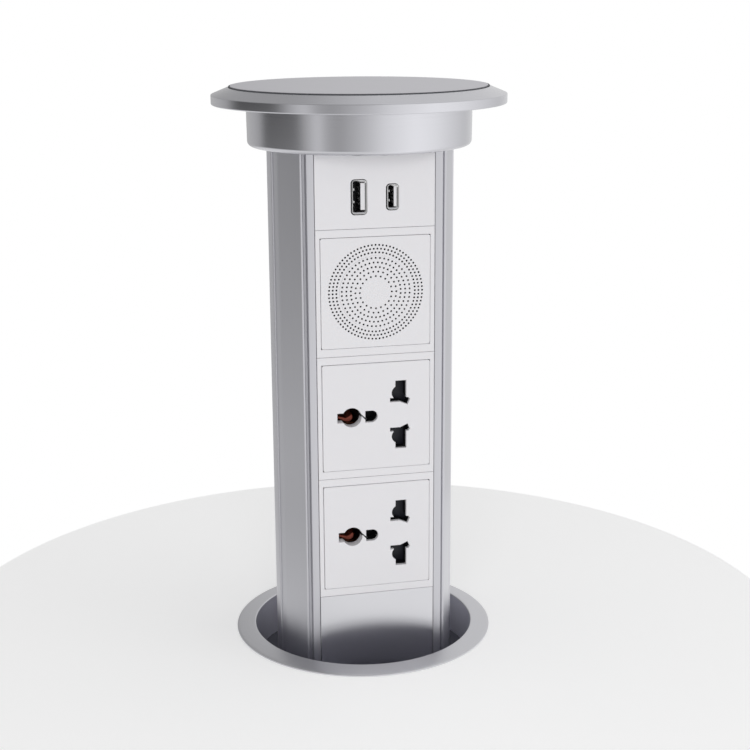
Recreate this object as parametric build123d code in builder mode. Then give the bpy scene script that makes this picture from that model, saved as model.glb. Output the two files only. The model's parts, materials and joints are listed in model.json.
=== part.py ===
from build123d import *
import os
from math import atan2, cos, degrees, radians, sin, sqrt

os.makedirs("parts", exist_ok=True)

# A round pop up desk socket: a column of modules that rises out of the desk on a motor-driven screw.
# Sizes are in millimetres. The desk top is z = 0, +Z is up and the sockets face -Y. It is drawn raised.

# Gaps and overruns
seat_gap = 0.3  # between a moving piece and what it stops against
slide_gap = 0.35  # around a piece that slides
running_gap = 0.05  # radial, around a turning shaft
tight_gap = 0.03  # radial, around a piece that is pressed or screwed in
panel_gap = 0.15  # around a front plate in its frame
overrun = 1.0  # how far a cut runs past its face

# Lid
lid_overhang = 4.3  # past the desk ring
lid_edge_height = 3.8
lid_bevel_width = 7.15
lid_bevel_height = 2.7
recess_depth = 2.95
disc_thickness = 3.7
disc_edge = 0.2
seal_width = 0.65
disc_seal_drop = 0.15  # how far the black ring lies below the disc's top
neck_beyond_column = 7.95
neck_taper = 0.2
neck_height = 16.75
neck_edge_radius = 1.9
neck_wall = 2.2
web_thickness = 3.0
wire_hole_radius = 13.0
lid_seal_offset = 1.6  # from the sleeve's outside
lid_seal_width = 2.2
lid_seal_proud = 0.4
lid_seal_depth = 1.0
touch_board_radius = 30.0
board_thickness = 1.6
touch_chip = 7.0
touch_chip_height = 1.4

# Extruded column, from its front slot outwards
slot_beyond_module = 2.1
lip_width = 3.05
shoulder_width = 2.15
shoulder_drop = 2.2
facet_width = 6.2
side_beyond_facet = 2.2
lip_setback = 9.8  # of the lips' front, from the radius of the sides
wall = 2.0
lip_thickness = 1.6
groove_beyond_slot = 1.7
groove_depth = 2.4
rail_reach = 1.2
rail_thickness = 1.5
bead_radius = 0.6
bead_y = 6.9
channel_width = 1.2  # in the shoulder, beside the lip
channel_depth = 0.9
port_inset_x = 0.5
port_inset_y = 8.4
port_radius = 3.0
port_hole_radius = 1.7
port_slit = 1.2
column_below = 57.0  # how much stays under the desk top when it is raised

# Front modules, on the 45 mm module standard
module_size = 45.0
module_margin = 6.88  # height between two modules
module_corner = 0.8
tiles_bottom_z = 25.65
charging_tile_height = 30.46
plate_proud = 0.5  # front plates, past the lips
frame_proud = 0.25  # their frames, past the lips
plate_thickness = 2.0
frame_joint = 0.12  # hairline between two frames

# Socket apertures, from the centre of the plate. The outlets lie on their side, earth to the left.
square_pin_x = 10.3
square_pin_z = 10.5
square_pin_width = 4.6
square_pin_height = 8.0
round_pin_x = 9.45
round_pin_z = 9.3
round_pin_radius = 3.0
flat_pin_x = 9.72
flat_pin_z = 6.35
flat_pin_width = 7.95
flat_pin_height = 1.7
slant_pin_x = 11.3
slant_pin_z = 6.35
slant_pin_width = 5.2
slant_pin_height = 2.6
slant_pin_angle = -24.0
earth_slot_left_x = -16.4
earth_slot_height = 4.1
earth_round_x = -10.4
earth_round_radius = 4.05
earth_slit_x = -5.9
earth_slit_z = 0.65
earth_slit_length = 4.6
earth_slit_width = 0.7
earth_slit_angle = -54.0
earth_d_left_x = -4.7
earth_d_x = -2.0
earth_d_radius = 2.45
earth_collar_wall = 1.0
earth_collar_depth = 2.4

# Socket body, shutter and contacts
body_gap = 0.3  # around the body, behind its plate's edge
body_corner = 1.5
body_depth = 26.0
aperture_grow = 0.15
body_front_wall = 4.2
shutter_thickness = 2.2
shutter_travel = 8.8
shutter_left_x = 5.3
shutter_right_x = 14.6
shutter_bridge = 2.6
shutter_low_z = 4.3
shutter_high_z = 15.2
contact_thickness = 0.6
contact_gap = 4.6
contact_height = 8.0
contact_depth = 14.0
earth_contact_gap = 7.4
earth_contact_length = 9.0
chamber_gap = 0.2
chamber_back_wall = 3.0

# Speaker
grille_thickness = 1.6
outer_ring_inset = 3.3  # from the plate's edge
outer_ring_step = 1.5
outer_rings = 3
outer_ring_count = 84
ring_break = 2.2
inner_ring_step = 1.85
inner_ring_counts = (50, 40, 34, 26, 20)
dot_size = 0.6
driver_gap = 0.2
driver_lip = 2.4
driver_flange = 1.2
driver_back_radius = 11.0
driver_depth = 12.0
driver_sheet = 0.8
cone_neck_radius = 6.0
cone_depth = 7.0
cone_sheet = 0.6
magnet_radius = 14.0
magnet_depth = 7.0
enclosure_wall = 1.8
enclosure_depth = 27.0
audio_board_size = 34.0
audio_chip = 9.0
chip_height = 1.8

# Charging ports
large_port_x = -6.6
large_port_width = 7.3
large_port_height = 14.8
small_port_x = 7.0
small_port_width = 5.9
small_port_height = 11.3
ports_above_tile_foot = 12.31
port_gap = 0.3
port_corner = 1.9
port_wall = 0.75
port_depth = 10.5
port_recess = 0.15
tongue_offset_share = 0.17  # of the port's width, towards +X
tongue_width_share = 0.27
tongue_height_share = 0.8
tongue_recess = 0.6
insert_base = 1.5
usb_board_width = 42.0
usb_board_height = 26.0
usb_post_radius = 2.0
usb_post_x = 17.0

# Foot of the column
end_plate_thickness = 5.0
end_plate_inset = 0.82  # inside the glide ring's outside
glide_wall = 3.4
glide_height = 14.0
glide_chamfer = 0.8
wire_slot_length = 18.0
wire_slot_width = 12.0
wire_slot_y = -9.0
nut_flange_width = 7.0
nut_flange_thickness = 3.5
nut_wall = 1.5
nut_body_length = 8.5
magnet_spot_radius = 1.8
magnet_spot_length = 3.0
screw_head_radius = 3.2
screw_head_height = 1.9
screw_length = 13.0
screw_radius = 1.65

# Trim ring and its sleeve through the desk
ring_lip = 1.7  # past the gasket
ring_edge_height = 0.65
ring_bevel = 1.1
ring_bevel_height = 0.45
ring_top_z = 1.83
neck_clearance = 1.45  # in the bore
bore_edge = 0.5
sleeve_wall = 2.4
gasket_width = 4.2
gasket_thickness = 0.5
desk_thickness = 25.0
washer_width = 10.0
washer_thickness = 1.5
clamp_nut_wall = 7.5
clamp_nut_height = 12.0
clamp_nut_notches = 8
clamp_notch_radius = 4.0

# Housing under the desk
neck_to_collar = 2.28  # when it is lowered
collar_length = 19.5
sleeve_on_tube = 8.0
tube_wall = 1.8
radial_screw_radius = 1.6
radial_screw_head_radius = 2.9
radial_screw_head_height = 1.3
radial_screw_bite = 4.5
radial_screws = 3
screw_axis_y = 17.0
lead_screw_radius = 4.0
lead_screw_above_plate = 7.0
lead_screw_chamfer = 1.0
nut_to_bearing_plate = 6.0
bearing_plate_thickness = 8.0
bearing_wall = 4.0
bearing_height = 7.0
coupler_wall = 5.0
coupler_length = 22.0
coupler_chamfer = 0.8
coupler_clearance = 6.0
motor_shaft_radius = 3.0
shaft_meeting_gap = 2.0
coupler_to_gearbox = 4.0
motor_plate_thickness = 4.0
motor_plate_slot_length = 40.0
motor_plate_slot_width = 13.0
motor_plate_slot_y = -26.0
spacer_radius = 3.0
spacer_x = 33.0
spacer_y = 16.0
gearbox_radius = 18.5
gearbox_length = 22.0
gearbox_boss_radius = 6.0
shaft_inside_gearbox = 8.0
motor_radius = 17.6
motor_length = 32.0
motor_edge = 1.8
motor_end_room = 8.0
motor_boss_radius = 6.0
motor_boss_height = 2.0
cap_overhang = 1.43
cap_thickness = 4.0
cap_edge = 1.5
cap_rim_height = 8.0
cap_rim_wall = 2.4
gland_inset = 18.77  # from the tube's inside to the gland's axis
gland_bore_radius = 4.2
gland_thread_radius = 8.0
gland_head_radius = 11.0
gland_head_length = 8.0
gland_dome_radius = 9.2
gland_dome_length = 10.0
gland_mouth_radius = 6.0
gland_nut_radius = 11.5
gland_nut_height = 5.0
control_board_width = 54.0
control_board_height = 54.0
control_board_y = -10.0
board_end_room = 8.0
board_slot_depth = 3.0
relay_width = 15.0
relay_height = 19.0
relay_depth = 11.0
terminal_width = 26.0
terminal_height = 9.0
terminal_depth = 9.0
terminal_drop = 1.0
sensor_width = 9.0
sensor_height = 12.0
sensor_depth = 3.0
sensor_wrap = 0.3  # how far its sides reach round the tube

# Radii and widths worked out from the modules outwards
module_pitch = module_size + module_margin
body_size = module_size - 2 * body_gap
slot_x = module_size / 2 + slot_beyond_module
groove_x = slot_x + groove_beyond_slot
rail_x = slot_x - rail_reach
lip_outer_x = slot_x + lip_width
shoulder_x = lip_outer_x + shoulder_width
facet_x = shoulder_x + facet_width
side_radius = facet_x + side_beyond_facet
facet_y = sqrt(side_radius**2 - facet_x**2)
lip_y = side_radius - lip_setback
shoulder_y = lip_y - shoulder_drop
port_x = shoulder_x - port_inset_x
port_y = shoulder_y - port_inset_y
neck_radius = side_radius + neck_beyond_column
bore_radius = neck_radius + neck_clearance
sleeve_radius = bore_radius + sleeve_wall
gasket_outer_radius = sleeve_radius + gasket_width
ring_radius = gasket_outer_radius + ring_lip
washer_radius = sleeve_radius + washer_width
clamp_nut_radius = sleeve_radius + clamp_nut_wall
lid_seal_radius = sleeve_radius + lid_seal_offset
lid_radius = ring_radius + lid_overhang
recess_radius = lid_radius - lid_bevel_width
disc_radius = recess_radius - seal_width
tube_radius = bore_radius - tight_gap
tube_bore = tube_radius - tube_wall
cap_radius = tube_radius + cap_overhang
gland_y = gland_inset - tube_bore
glide_radius = tube_bore - slide_gap
end_plate_radius = glide_radius - end_plate_inset
nut_bore_radius = lead_screw_radius + running_gap
nut_body_radius = lead_screw_radius + nut_wall
nut_flange_radius = lead_screw_radius + nut_flange_width
bearing_radius = lead_screw_radius + bearing_wall
coupler_radius = lead_screw_radius + coupler_wall
driver_radius = body_size / 2 - enclosure_wall - driver_gap
outer_ring_radii = [module_size / 2 - outer_ring_inset - i * outer_ring_step for i in range(outer_rings)]
inner_ring_radius = outer_ring_radii[-1] - ring_break

# Levels worked out from the desk upwards and downwards
column_top_z = tiles_bottom_z + 3 * module_pitch + charging_tile_height
lid_under_z = column_top_z + neck_height
lid_edge_z = lid_under_z + lid_edge_height
lid_top_z = lid_edge_z + lid_bevel_height
ledge_z = lid_top_z - recess_depth
column_bottom_z = -column_below
travel = lid_under_z - lid_seal_proud - seat_gap - ring_top_z
frame_y = -(lip_y + frame_proud)
plate_y = -(lip_y + plate_proud)
flange_front_y = -(lip_y - lip_thickness) + seat_gap
flange_back_y = -(lip_y - lip_thickness - groove_depth) - seat_gap
body_front_y = plate_y + plate_thickness
end_plate_z = column_bottom_z - end_plate_thickness
nut_low_z = end_plate_z - nut_flange_thickness - nut_body_length
bearing_top_z = nut_low_z - travel - nut_to_bearing_plate
bearing_plate_z = bearing_top_z - bearing_plate_thickness
coupler_top_z = bearing_plate_z - coupler_clearance
coupler_low_z = coupler_top_z - coupler_length
motor_plate_top_z = coupler_low_z - coupler_to_gearbox
motor_plate_z = motor_plate_top_z - motor_plate_thickness
gearbox_low_z = motor_plate_z - gearbox_length
motor_low_z = gearbox_low_z - motor_length
board_low_z = motor_plate_z - board_end_room - control_board_height
tube_low_z = min(motor_low_z - motor_end_room, board_low_z)
tube_top_z = column_top_z - travel - neck_to_collar - collar_length
sleeve_low_z = tube_top_z - sleeve_on_tube
shaft_meeting_z = coupler_top_z - coupler_length / 2
sleeve_screw_z = (tube_top_z + sleeve_low_z) / 2
bearing_screw_z = bearing_plate_z + bearing_plate_thickness / 2
cap_screw_z = tube_low_z + cap_rim_height / 2
cap_low_z = tube_low_z - cap_thickness
speaker_z = tiles_bottom_z + 2.5 * module_pitch
usb_tile_z = tiles_bottom_z + 3 * module_pitch
tile_x = slot_x - panel_gap
flange_x = groove_x - seat_gap
opening_size = module_size + 2 * panel_gap
grille_back_y = plate_y + grille_thickness
enclosure_back_y = grille_back_y + enclosure_depth
cone_front_y = grille_back_y + driver_flange / 2
cone_edge_radius = driver_radius - driver_lip - tight_gap
ports_z = usb_tile_z + ports_above_tile_foot
port_front_y = frame_y + port_recess
usb_board_y = port_front_y + port_depth
charging_ports = {
    "usb_a": (large_port_x, large_port_width, large_port_height),
    "usb_c": (small_port_x, small_port_width, small_port_height),
}
pocket_y = body_front_y + body_front_wall
pocket_depth = shutter_thickness + 2 * slide_gap
pocket_left_x = shutter_left_x - shutter_travel - slide_gap
pocket_right_x = shutter_right_x + slide_gap
shutter_y = pocket_y + slide_gap
chamber_low_z = shutter_low_z + slide_gap
chamber_back_y = body_front_y + body_depth - chamber_back_wall
earth_chamber_y = body_front_y + earth_collar_depth + aperture_grow
earth_contact_x = earth_round_x - earth_collar_wall / 2
earth_contact_depth = chamber_back_y - earth_chamber_y - 3 * contact_thickness


def save(builder, label):
    """Names a finished piece and writes it."""
    builder.part.label = label
    export_step(builder.part, f"parts/{label}.step")


def turned_profile(points):
    """A closed outline of (radius, height) points, to be turned about the vertical axis."""
    with BuildSketch(Plane.XZ) as face:
        with BuildLine():
            Polyline(*points, close=True)
        make_face()
    return face.sketch


def driver_profile(points):
    """A closed outline of (radius, y) points at the height of the speaker's axis."""
    with BuildSketch(Plane.XY.offset(speaker_z)) as face:
        with BuildLine():
            Polyline(*points, close=True)
        make_face()
    return face.sketch


def disc(z, radius, hole=0, x=0, y=0):
    """A flat ring or disc at height z."""
    with BuildSketch(Plane.XY.offset(z)) as face:
        with Locations((x, y)):
            Circle(radius)
            if hole:
                Circle(hole, mode=Mode.SUBTRACT)
    return face.sketch


def front_square(y, z, width, height, corner=0, x=0):
    """A rectangle that faces -Y, centred at (x, z)."""
    with BuildSketch(Plane.XZ.offset(-y)) as face:
        with Locations((x, z)):
            if corner:
                RectangleRounded(width, height, corner)
            else:
                Rectangle(width, height)
    return face.sketch


def mirrored_places(x, y):
    """Four places, mirrored in both axes."""
    return [(i * x, j * y) for i in (-1, 1) for j in (-1, 1)]


def screw_group(places, head_z, length, head_up):
    """Pan head screws along Z. head_z is the face that the heads press on."""
    side = 1 if head_up else -1
    with BuildPart() as group:
        with BuildSketch(Plane.XY.offset(head_z)):
            with Locations(places):
                Circle(screw_head_radius)
        extrude(amount=side * screw_head_height)
        with BuildSketch(Plane.XY.offset(head_z)):
            with Locations(places):
                Circle(screw_radius)
        extrude(amount=-side * length)
    return group.part


def radial_holes(low_radius, high_radius, z, count, radius, start=90.0):
    """Round bars that point at the axis, spaced around it at height z."""
    with BuildPart() as bars:
        for turn in range(count):
            angle = start + 360 * turn / count
            outward = Vector(cos(radians(angle)), sin(radians(angle)), 0)
            foot = Plane(origin=outward * low_radius + Vector(0, 0, z), z_dir=outward)
            with BuildSketch(foot):
                Circle(radius)
            extrude(amount=high_radius - low_radius)
    return bars.part


def column_outline(grow=0):
    """Outline of the column without its front slot, grown all round by a gap."""
    side = [
        (0, -lip_y),
        (lip_outer_x, -lip_y),
        (lip_outer_x, -shoulder_y),
        (shoulder_x, -shoulder_y),
        (facet_x, -facet_y),
    ]
    with BuildSketch() as face:
        with BuildLine():
            Polyline(*side)
            ThreePointArc((facet_x, -facet_y), (side_radius, 0), (facet_x, facet_y))
            Polyline(*[(x, -y) for x, y in reversed(side)])
            mirror(about=Plane.YZ)
        make_face()
        if grow:
            offset(amount=grow, kind=Kind.INTERSECTION)
    return face.sketch


def column_beads(grow=0):
    """The slim bead along the front of each rounded side."""
    bead_x = sqrt(side_radius**2 - bead_y**2)
    with BuildSketch() as face:
        with Locations((-bead_x, -bead_y), (bead_x, -bead_y)):
            Circle(bead_radius + grow)
    return face.sketch


def tile_section(z, front_y):
    """Cross-section of what slides in behind the column's lips: a front face and two side flanges."""
    with BuildSketch(Plane.XY.offset(z)) as face:
        with Locations((0, front_y)):
            Rectangle(2 * tile_x, flange_front_y - front_y, align=(Align.CENTER, Align.MIN))
        with Locations((0, flange_front_y)):
            Rectangle(2 * flange_x, flange_back_y - flange_front_y, align=(Align.CENTER, Align.MIN))
    return face.sketch


def live_apertures(grow=0):
    """Both live apertures: square, round, flat and slanted pins share one hole on each side."""
    with Locations((square_pin_x, square_pin_z)):
        Rectangle(square_pin_width + 2 * grow, square_pin_height + 2 * grow)
    with Locations((round_pin_x, round_pin_z)):
        Circle(round_pin_radius + grow)
    with Locations((flat_pin_x, flat_pin_z)):
        Rectangle(flat_pin_width + 2 * grow, flat_pin_height + 2 * grow)
    with Locations(Location((slant_pin_x, slant_pin_z, 0), (0, 0, slant_pin_angle))):
        Rectangle(slant_pin_width + 2 * grow, slant_pin_height + 2 * grow)
    mirror(about=Plane.XZ)


def earth_aperture(grow=0):
    """The earth hole's round mouth and the slot beside it."""
    with Locations((earth_round_x, 0)):
        Circle(earth_round_radius + grow)
    with Locations((earth_slot_left_x - grow, 0)):
        Rectangle(
            earth_round_x - earth_slot_left_x + grow,
            earth_slot_height + 2 * grow,
            align=(Align.MIN, Align.CENTER),
        )


def earth_keyhole():
    """The slanted slit and the D-shaped hole to the right of the earth hole."""
    with Locations(Location((earth_slit_x, earth_slit_z, 0), (0, 0, earth_slit_angle))):
        Rectangle(earth_slit_length, earth_slit_width)
    with Locations((earth_d_x, 0)):
        Circle(earth_d_radius)
    with Locations((earth_d_left_x, 0)):
        Rectangle(earth_d_x - earth_d_left_x, 2 * earth_d_radius, align=(Align.MIN, Align.CENTER))


# Lid: a turned flange and neck that carries a flat disc
with BuildPart() as lid_flange:
    revolve(
        turned_profile(
            [
                (wire_hole_radius, column_top_z),
                (neck_radius - neck_taper, column_top_z),
                (neck_radius, lid_under_z),
                (lid_radius, lid_under_z),
                (lid_radius, lid_edge_z),
                (recess_radius, lid_top_z),
                (recess_radius, ledge_z),
                (neck_radius - neck_wall, ledge_z),
                (neck_radius - neck_wall, column_top_z + web_thickness),
                (wire_hole_radius, column_top_z + web_thickness),
            ]
        )
    )
    low_edges = lid_flange.edges().filter_by(GeomType.CIRCLE).group_by(Axis.Z)[0]
    fillet(low_edges.sort_by(SortBy.RADIUS)[-1], radius=neck_edge_radius)
    with BuildSketch(Plane.XY.offset(column_top_z)):
        with Locations(mirrored_places(port_x, port_y)):
            Circle(port_hole_radius)
    extrude(amount=web_thickness, mode=Mode.SUBTRACT)
    revolve(
        turned_profile(
            [
                (lid_seal_radius, lid_under_z),
                (lid_seal_radius + lid_seal_width, lid_under_z),
                (lid_seal_radius + lid_seal_width, lid_under_z + lid_seal_depth),
                (lid_seal_radius, lid_under_z + lid_seal_depth),
            ]
        ),
        mode=Mode.SUBTRACT,
    )
save(lid_flange, "lid_flange")

with BuildPart() as lid_disc:
    extrude(disc(ledge_z, disc_radius), amount=disc_thickness)
    chamfer(lid_disc.edges().group_by(Axis.Z)[-1], length=disc_edge)
save(lid_disc, "lid_disc")

with BuildPart() as disc_seal:
    seal_height = disc_thickness - disc_seal_drop
    extrude(disc(ledge_z, recess_radius - tight_gap, disc_radius + tight_gap), amount=seal_height)
save(disc_seal, "disc_seal")

with BuildPart() as lid_seal:
    seal_low_z = lid_under_z - lid_seal_proud
    seal_outer = lid_seal_radius + lid_seal_width - tight_gap
    extrude(disc(seal_low_z, seal_outer, lid_seal_radius + tight_gap), amount=lid_seal_depth + lid_seal_proud)
save(lid_seal, "lid_seal")

with BuildPart() as touch_board:
    extrude(disc(ledge_z, touch_board_radius), amount=-board_thickness)
    with BuildSketch(Plane.XY.offset(ledge_z - board_thickness)):
        with GridLocations(touch_chip * 2, touch_chip * 2, 2, 2):
            Rectangle(touch_chip, touch_chip)
    extrude(amount=-touch_chip_height)
save(touch_board, "touch_board")

with BuildPart() as lid_screws:
    add(screw_group(mirrored_places(port_x, port_y), column_top_z + web_thickness, screw_length, True))
save(lid_screws, "lid_screws")

# Column: one extrusion with lips and rails for the modules and a screw port in each corner
with BuildPart() as column:
    with BuildSketch(Plane.XY.offset(column_bottom_z)):
        add(column_outline())
        add(column_beads())
        add(column_outline(-wall), mode=Mode.SUBTRACT)
        with Locations((0, -(lip_y - lip_thickness))):
            Rectangle(2 * groove_x, groove_depth, align=(Align.CENTER, Align.MIN), mode=Mode.SUBTRACT)
        with Locations((0, -lip_y - overrun)):
            Rectangle(2 * slot_x, wall + 2 * overrun, align=(Align.CENTER, Align.MIN), mode=Mode.SUBTRACT)
        with Locations(mirrored_places(lip_outer_x + channel_width / 2, shoulder_y)):
            Rectangle(channel_width, 2 * channel_depth, mode=Mode.SUBTRACT)
        for side in (-1, 1):
            with Locations((side * (rail_x + shoulder_x) / 2, -(lip_y - lip_thickness - groove_depth))):
                Rectangle(shoulder_x - rail_x, rail_thickness, align=(Align.CENTER, Align.MIN))
        with Locations(mirrored_places(port_x, port_y)):
            Circle(port_radius)
            Circle(port_hole_radius, mode=Mode.SUBTRACT)
        for x, y in mirrored_places(port_x, port_y):
            inward = degrees(atan2(-y, -x))
            with Locations(Location((x, y, 0), (0, 0, inward))):
                Rectangle(
                    port_radius + overrun, port_slit, align=(Align.MIN, Align.CENTER), mode=Mode.SUBTRACT
                )
    extrude(amount=column_top_z - column_bottom_z)
save(column, "column")

with BuildPart() as blank_plate:
    extrude(tile_section(column_bottom_z, -lip_y), amount=tiles_bottom_z - frame_joint - column_bottom_z)
save(blank_plate, "blank_plate")

# Foot of the column: end plate, glide ring, nut and position magnet
with BuildPart() as end_plate:
    extrude(disc(end_plate_z, end_plate_radius), amount=end_plate_thickness)
    with BuildSketch(Plane.XY.offset(end_plate_z)):
        with Locations(mirrored_places(port_x, port_y)):
            Circle(port_hole_radius)
        with Locations((0, screw_axis_y)):
            Circle(lead_screw_radius + overrun)
        with Locations((0, wire_slot_y)):
            SlotOverall(wire_slot_length, wire_slot_width)
    extrude(amount=end_plate_thickness, mode=Mode.SUBTRACT)
    add(
        radial_holes(
            end_plate_radius - magnet_spot_length,
            end_plate_radius + overrun,
            end_plate_z + end_plate_thickness / 2,
            1,
            magnet_spot_radius,
        ),
        mode=Mode.SUBTRACT,
    )
save(end_plate, "end_plate")

with BuildPart() as end_plate_screws:
    add(screw_group(mirrored_places(port_x, port_y), end_plate_z, screw_length, False))
save(end_plate_screws, "end_plate_screws")

with BuildPart() as glide_ring:
    extrude(disc(column_bottom_z, glide_radius, glide_radius - glide_wall), amount=glide_height)
    chamfer(glide_ring.edges().group_by(Axis.Z)[-1].sort_by(SortBy.RADIUS)[-1], length=glide_chamfer)
save(glide_ring, "glide_ring")

with BuildPart() as lead_nut:
    nut_flange = disc(end_plate_z, nut_flange_radius, nut_bore_radius, y=screw_axis_y)
    extrude(nut_flange, amount=-nut_flange_thickness)
    nut_body = disc(end_plate_z - nut_flange_thickness, nut_body_radius, nut_bore_radius, y=screw_axis_y)
    extrude(nut_body, amount=-nut_body_length)
save(lead_nut, "lead_nut")

with BuildPart() as sensor_magnet:
    add(
        radial_holes(
            end_plate_radius - magnet_spot_length,
            end_plate_radius,
            end_plate_z + end_plate_thickness / 2,
            1,
            magnet_spot_radius - tight_gap,
        )
    )
save(sensor_magnet, "sensor_magnet")

# Outlet modules: frame, apertured plate, insulating body, contacts and shutter
for index, place in enumerate(("lower", "upper")):
    low_z = tiles_bottom_z + index * module_pitch
    centre_z = low_z + module_pitch / 2

    with BuildPart() as socket_frame:
        extrude(tile_section(low_z, frame_y), amount=module_pitch - frame_joint)
        extrude(
            front_square(frame_y - overrun, centre_z, opening_size, opening_size),
            amount=-(flange_back_y - frame_y + 2 * overrun),
            mode=Mode.SUBTRACT,
        )
    save(socket_frame, f"socket_frame_{place}")

    with BuildPart() as socket_plate:
        plate_face = front_square(plate_y, centre_z, module_size, module_size, module_corner)
        extrude(plate_face, amount=-plate_thickness)
        with BuildSketch(Plane(origin=(0, body_front_y, centre_z), z_dir=(0, -1, 0), x_dir=(1, 0, 0))):
            earth_aperture(earth_collar_wall)
        extrude(amount=-earth_collar_depth)
        with BuildSketch(Plane(origin=(0, plate_y, centre_z), z_dir=(0, -1, 0), x_dir=(1, 0, 0))):
            live_apertures()
            earth_aperture()
        extrude(amount=-(plate_thickness + earth_collar_depth), mode=Mode.SUBTRACT)
        with BuildSketch(Plane(origin=(0, plate_y, centre_z), z_dir=(0, -1, 0), x_dir=(1, 0, 0))):
            earth_keyhole()
        extrude(amount=-plate_thickness, mode=Mode.SUBTRACT)
    save(socket_plate, f"socket_plate_{place}")

    with BuildPart() as socket_body:
        extrude(front_square(body_front_y, centre_z, body_size, body_size, body_corner), amount=-body_depth)
        with BuildSketch(Plane(origin=(0, body_front_y, centre_z), z_dir=(0, -1, 0), x_dir=(1, 0, 0))):
            live_apertures(aperture_grow)
        extrude(amount=-body_front_wall, mode=Mode.SUBTRACT)
        with BuildSketch(Plane(origin=(0, body_front_y, centre_z), z_dir=(0, -1, 0), x_dir=(1, 0, 0))):
            earth_keyhole()
        extrude(amount=-body_front_wall, mode=Mode.SUBTRACT)
        with BuildSketch(Plane(origin=(0, body_front_y, centre_z), z_dir=(0, -1, 0), x_dir=(1, 0, 0))):
            earth_aperture(earth_collar_wall + aperture_grow)
        extrude(amount=-(earth_collar_depth + aperture_grow), mode=Mode.SUBTRACT)
        pocket = front_square(
            pocket_y, centre_z, pocket_right_x - pocket_left_x, 2 * (shutter_high_z + slide_gap),
            x=(pocket_left_x + pocket_right_x) / 2,
        )
        extrude(pocket, amount=-pocket_depth, mode=Mode.SUBTRACT)
        for side in (-1, 1):
            chamber = front_square(
                pocket_y, centre_z + side * (chamber_low_z + shutter_high_z) / 2,
                shutter_right_x - shutter_left_x, shutter_high_z - chamber_low_z,
                x=(shutter_left_x + shutter_right_x) / 2,
            )
            extrude(chamber, amount=-(chamber_back_y - pocket_y), mode=Mode.SUBTRACT)
        earth_chamber = front_square(
            earth_chamber_y, centre_z, earth_contact_length + 2 * chamber_gap,
            earth_contact_gap + 2 * contact_thickness + 2 * chamber_gap, x=earth_contact_x,
        )
        extrude(earth_chamber, amount=-(chamber_back_y - earth_chamber_y), mode=Mode.SUBTRACT)
    save(socket_body, f"socket_body_{place}")

    with BuildPart() as contacts:
        for side in (-1, 1):
            clip_z = centre_z + side * square_pin_z
            clip = front_square(
                chamber_back_y, clip_z, contact_gap + 2 * contact_thickness, contact_height, x=square_pin_x
            )
            extrude(clip, amount=contact_depth)
            mouth = front_square(
                chamber_back_y - contact_thickness, clip_z, contact_gap, contact_height + overrun,
                x=square_pin_x,
            )
            extrude(mouth, amount=contact_depth, mode=Mode.SUBTRACT)
        clip = front_square(
            chamber_back_y, centre_z, earth_contact_length, earth_contact_gap + 2 * contact_thickness,
            x=earth_contact_x,
        )
        extrude(clip, amount=earth_contact_depth)
        mouth = front_square(
            chamber_back_y - contact_thickness, centre_z, earth_contact_length + overrun, earth_contact_gap,
            x=earth_contact_x,
        )
        extrude(mouth, amount=earth_contact_depth, mode=Mode.SUBTRACT)
    save(contacts, f"contacts_{place}")

    with BuildPart() as shutter:
        for side in (-1, 1):
            blade = front_square(
                shutter_y, centre_z + side * (shutter_low_z + shutter_high_z) / 2,
                shutter_right_x - shutter_left_x, shutter_high_z - shutter_low_z,
                x=(shutter_left_x + shutter_right_x) / 2,
            )
            extrude(blade, amount=-shutter_thickness)
        bridge = front_square(
            shutter_y, centre_z, shutter_bridge, 2 * shutter_high_z, x=shutter_right_x - shutter_bridge / 2
        )
        extrude(bridge, amount=-shutter_thickness)
    save(shutter, f"shutter_{place}")

# Speaker module
with BuildPart() as speaker_frame:
    extrude(tile_section(tiles_bottom_z + 2 * module_pitch, frame_y), amount=module_pitch - frame_joint)
    extrude(
        front_square(frame_y - overrun, speaker_z, opening_size, opening_size),
        amount=-(flange_back_y - frame_y + 2 * overrun),
        mode=Mode.SUBTRACT,
    )
save(speaker_frame, "speaker_frame")

with BuildPart() as speaker_grille:
    grille_face = front_square(plate_y, speaker_z, module_size, module_size, module_corner)
    extrude(grille_face, amount=-grille_thickness)
    with BuildSketch(Plane(origin=(0, plate_y, speaker_z), z_dir=(0, -1, 0), x_dir=(1, 0, 0))):
        for radius in outer_ring_radii:
            with PolarLocations(radius, outer_ring_count):
                Rectangle(dot_size, dot_size)
        for index, count in enumerate(inner_ring_counts):
            with PolarLocations(inner_ring_radius - index * inner_ring_step, count, start_angle=90):
                Rectangle(dot_size, dot_size)
    extrude(amount=-grille_thickness, mode=Mode.SUBTRACT)
save(speaker_grille, "speaker_grille")

with BuildPart() as speaker_enclosure:
    enclosure_face = front_square(grille_back_y, speaker_z, body_size, body_size, body_corner)
    extrude(enclosure_face, amount=-enclosure_depth)
    inner_size = body_size - 2 * enclosure_wall
    extrude(
        front_square(grille_back_y, speaker_z, inner_size, inner_size),
        amount=-(enclosure_depth - enclosure_wall),
        mode=Mode.SUBTRACT,
    )
save(speaker_enclosure, "speaker_enclosure")

driver_axis = Axis((0, 0, speaker_z), (0, 1, 0))
with BuildPart() as speaker_basket:
    revolve(
        driver_profile(
            [
                (driver_radius - driver_lip, grille_back_y),
                (driver_radius, grille_back_y),
                (driver_radius, grille_back_y + driver_flange),
                (driver_radius - driver_lip + driver_sheet, grille_back_y + driver_flange),
                (driver_back_radius, grille_back_y + driver_depth),
                (cone_neck_radius, grille_back_y + driver_depth),
                (cone_neck_radius, grille_back_y + driver_depth - driver_sheet),
                (driver_back_radius - driver_sheet, grille_back_y + driver_depth - driver_sheet),
                (driver_radius - driver_lip, grille_back_y + driver_flange),
            ]
        ),
        axis=driver_axis,
    )
save(speaker_basket, "speaker_basket")

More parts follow.
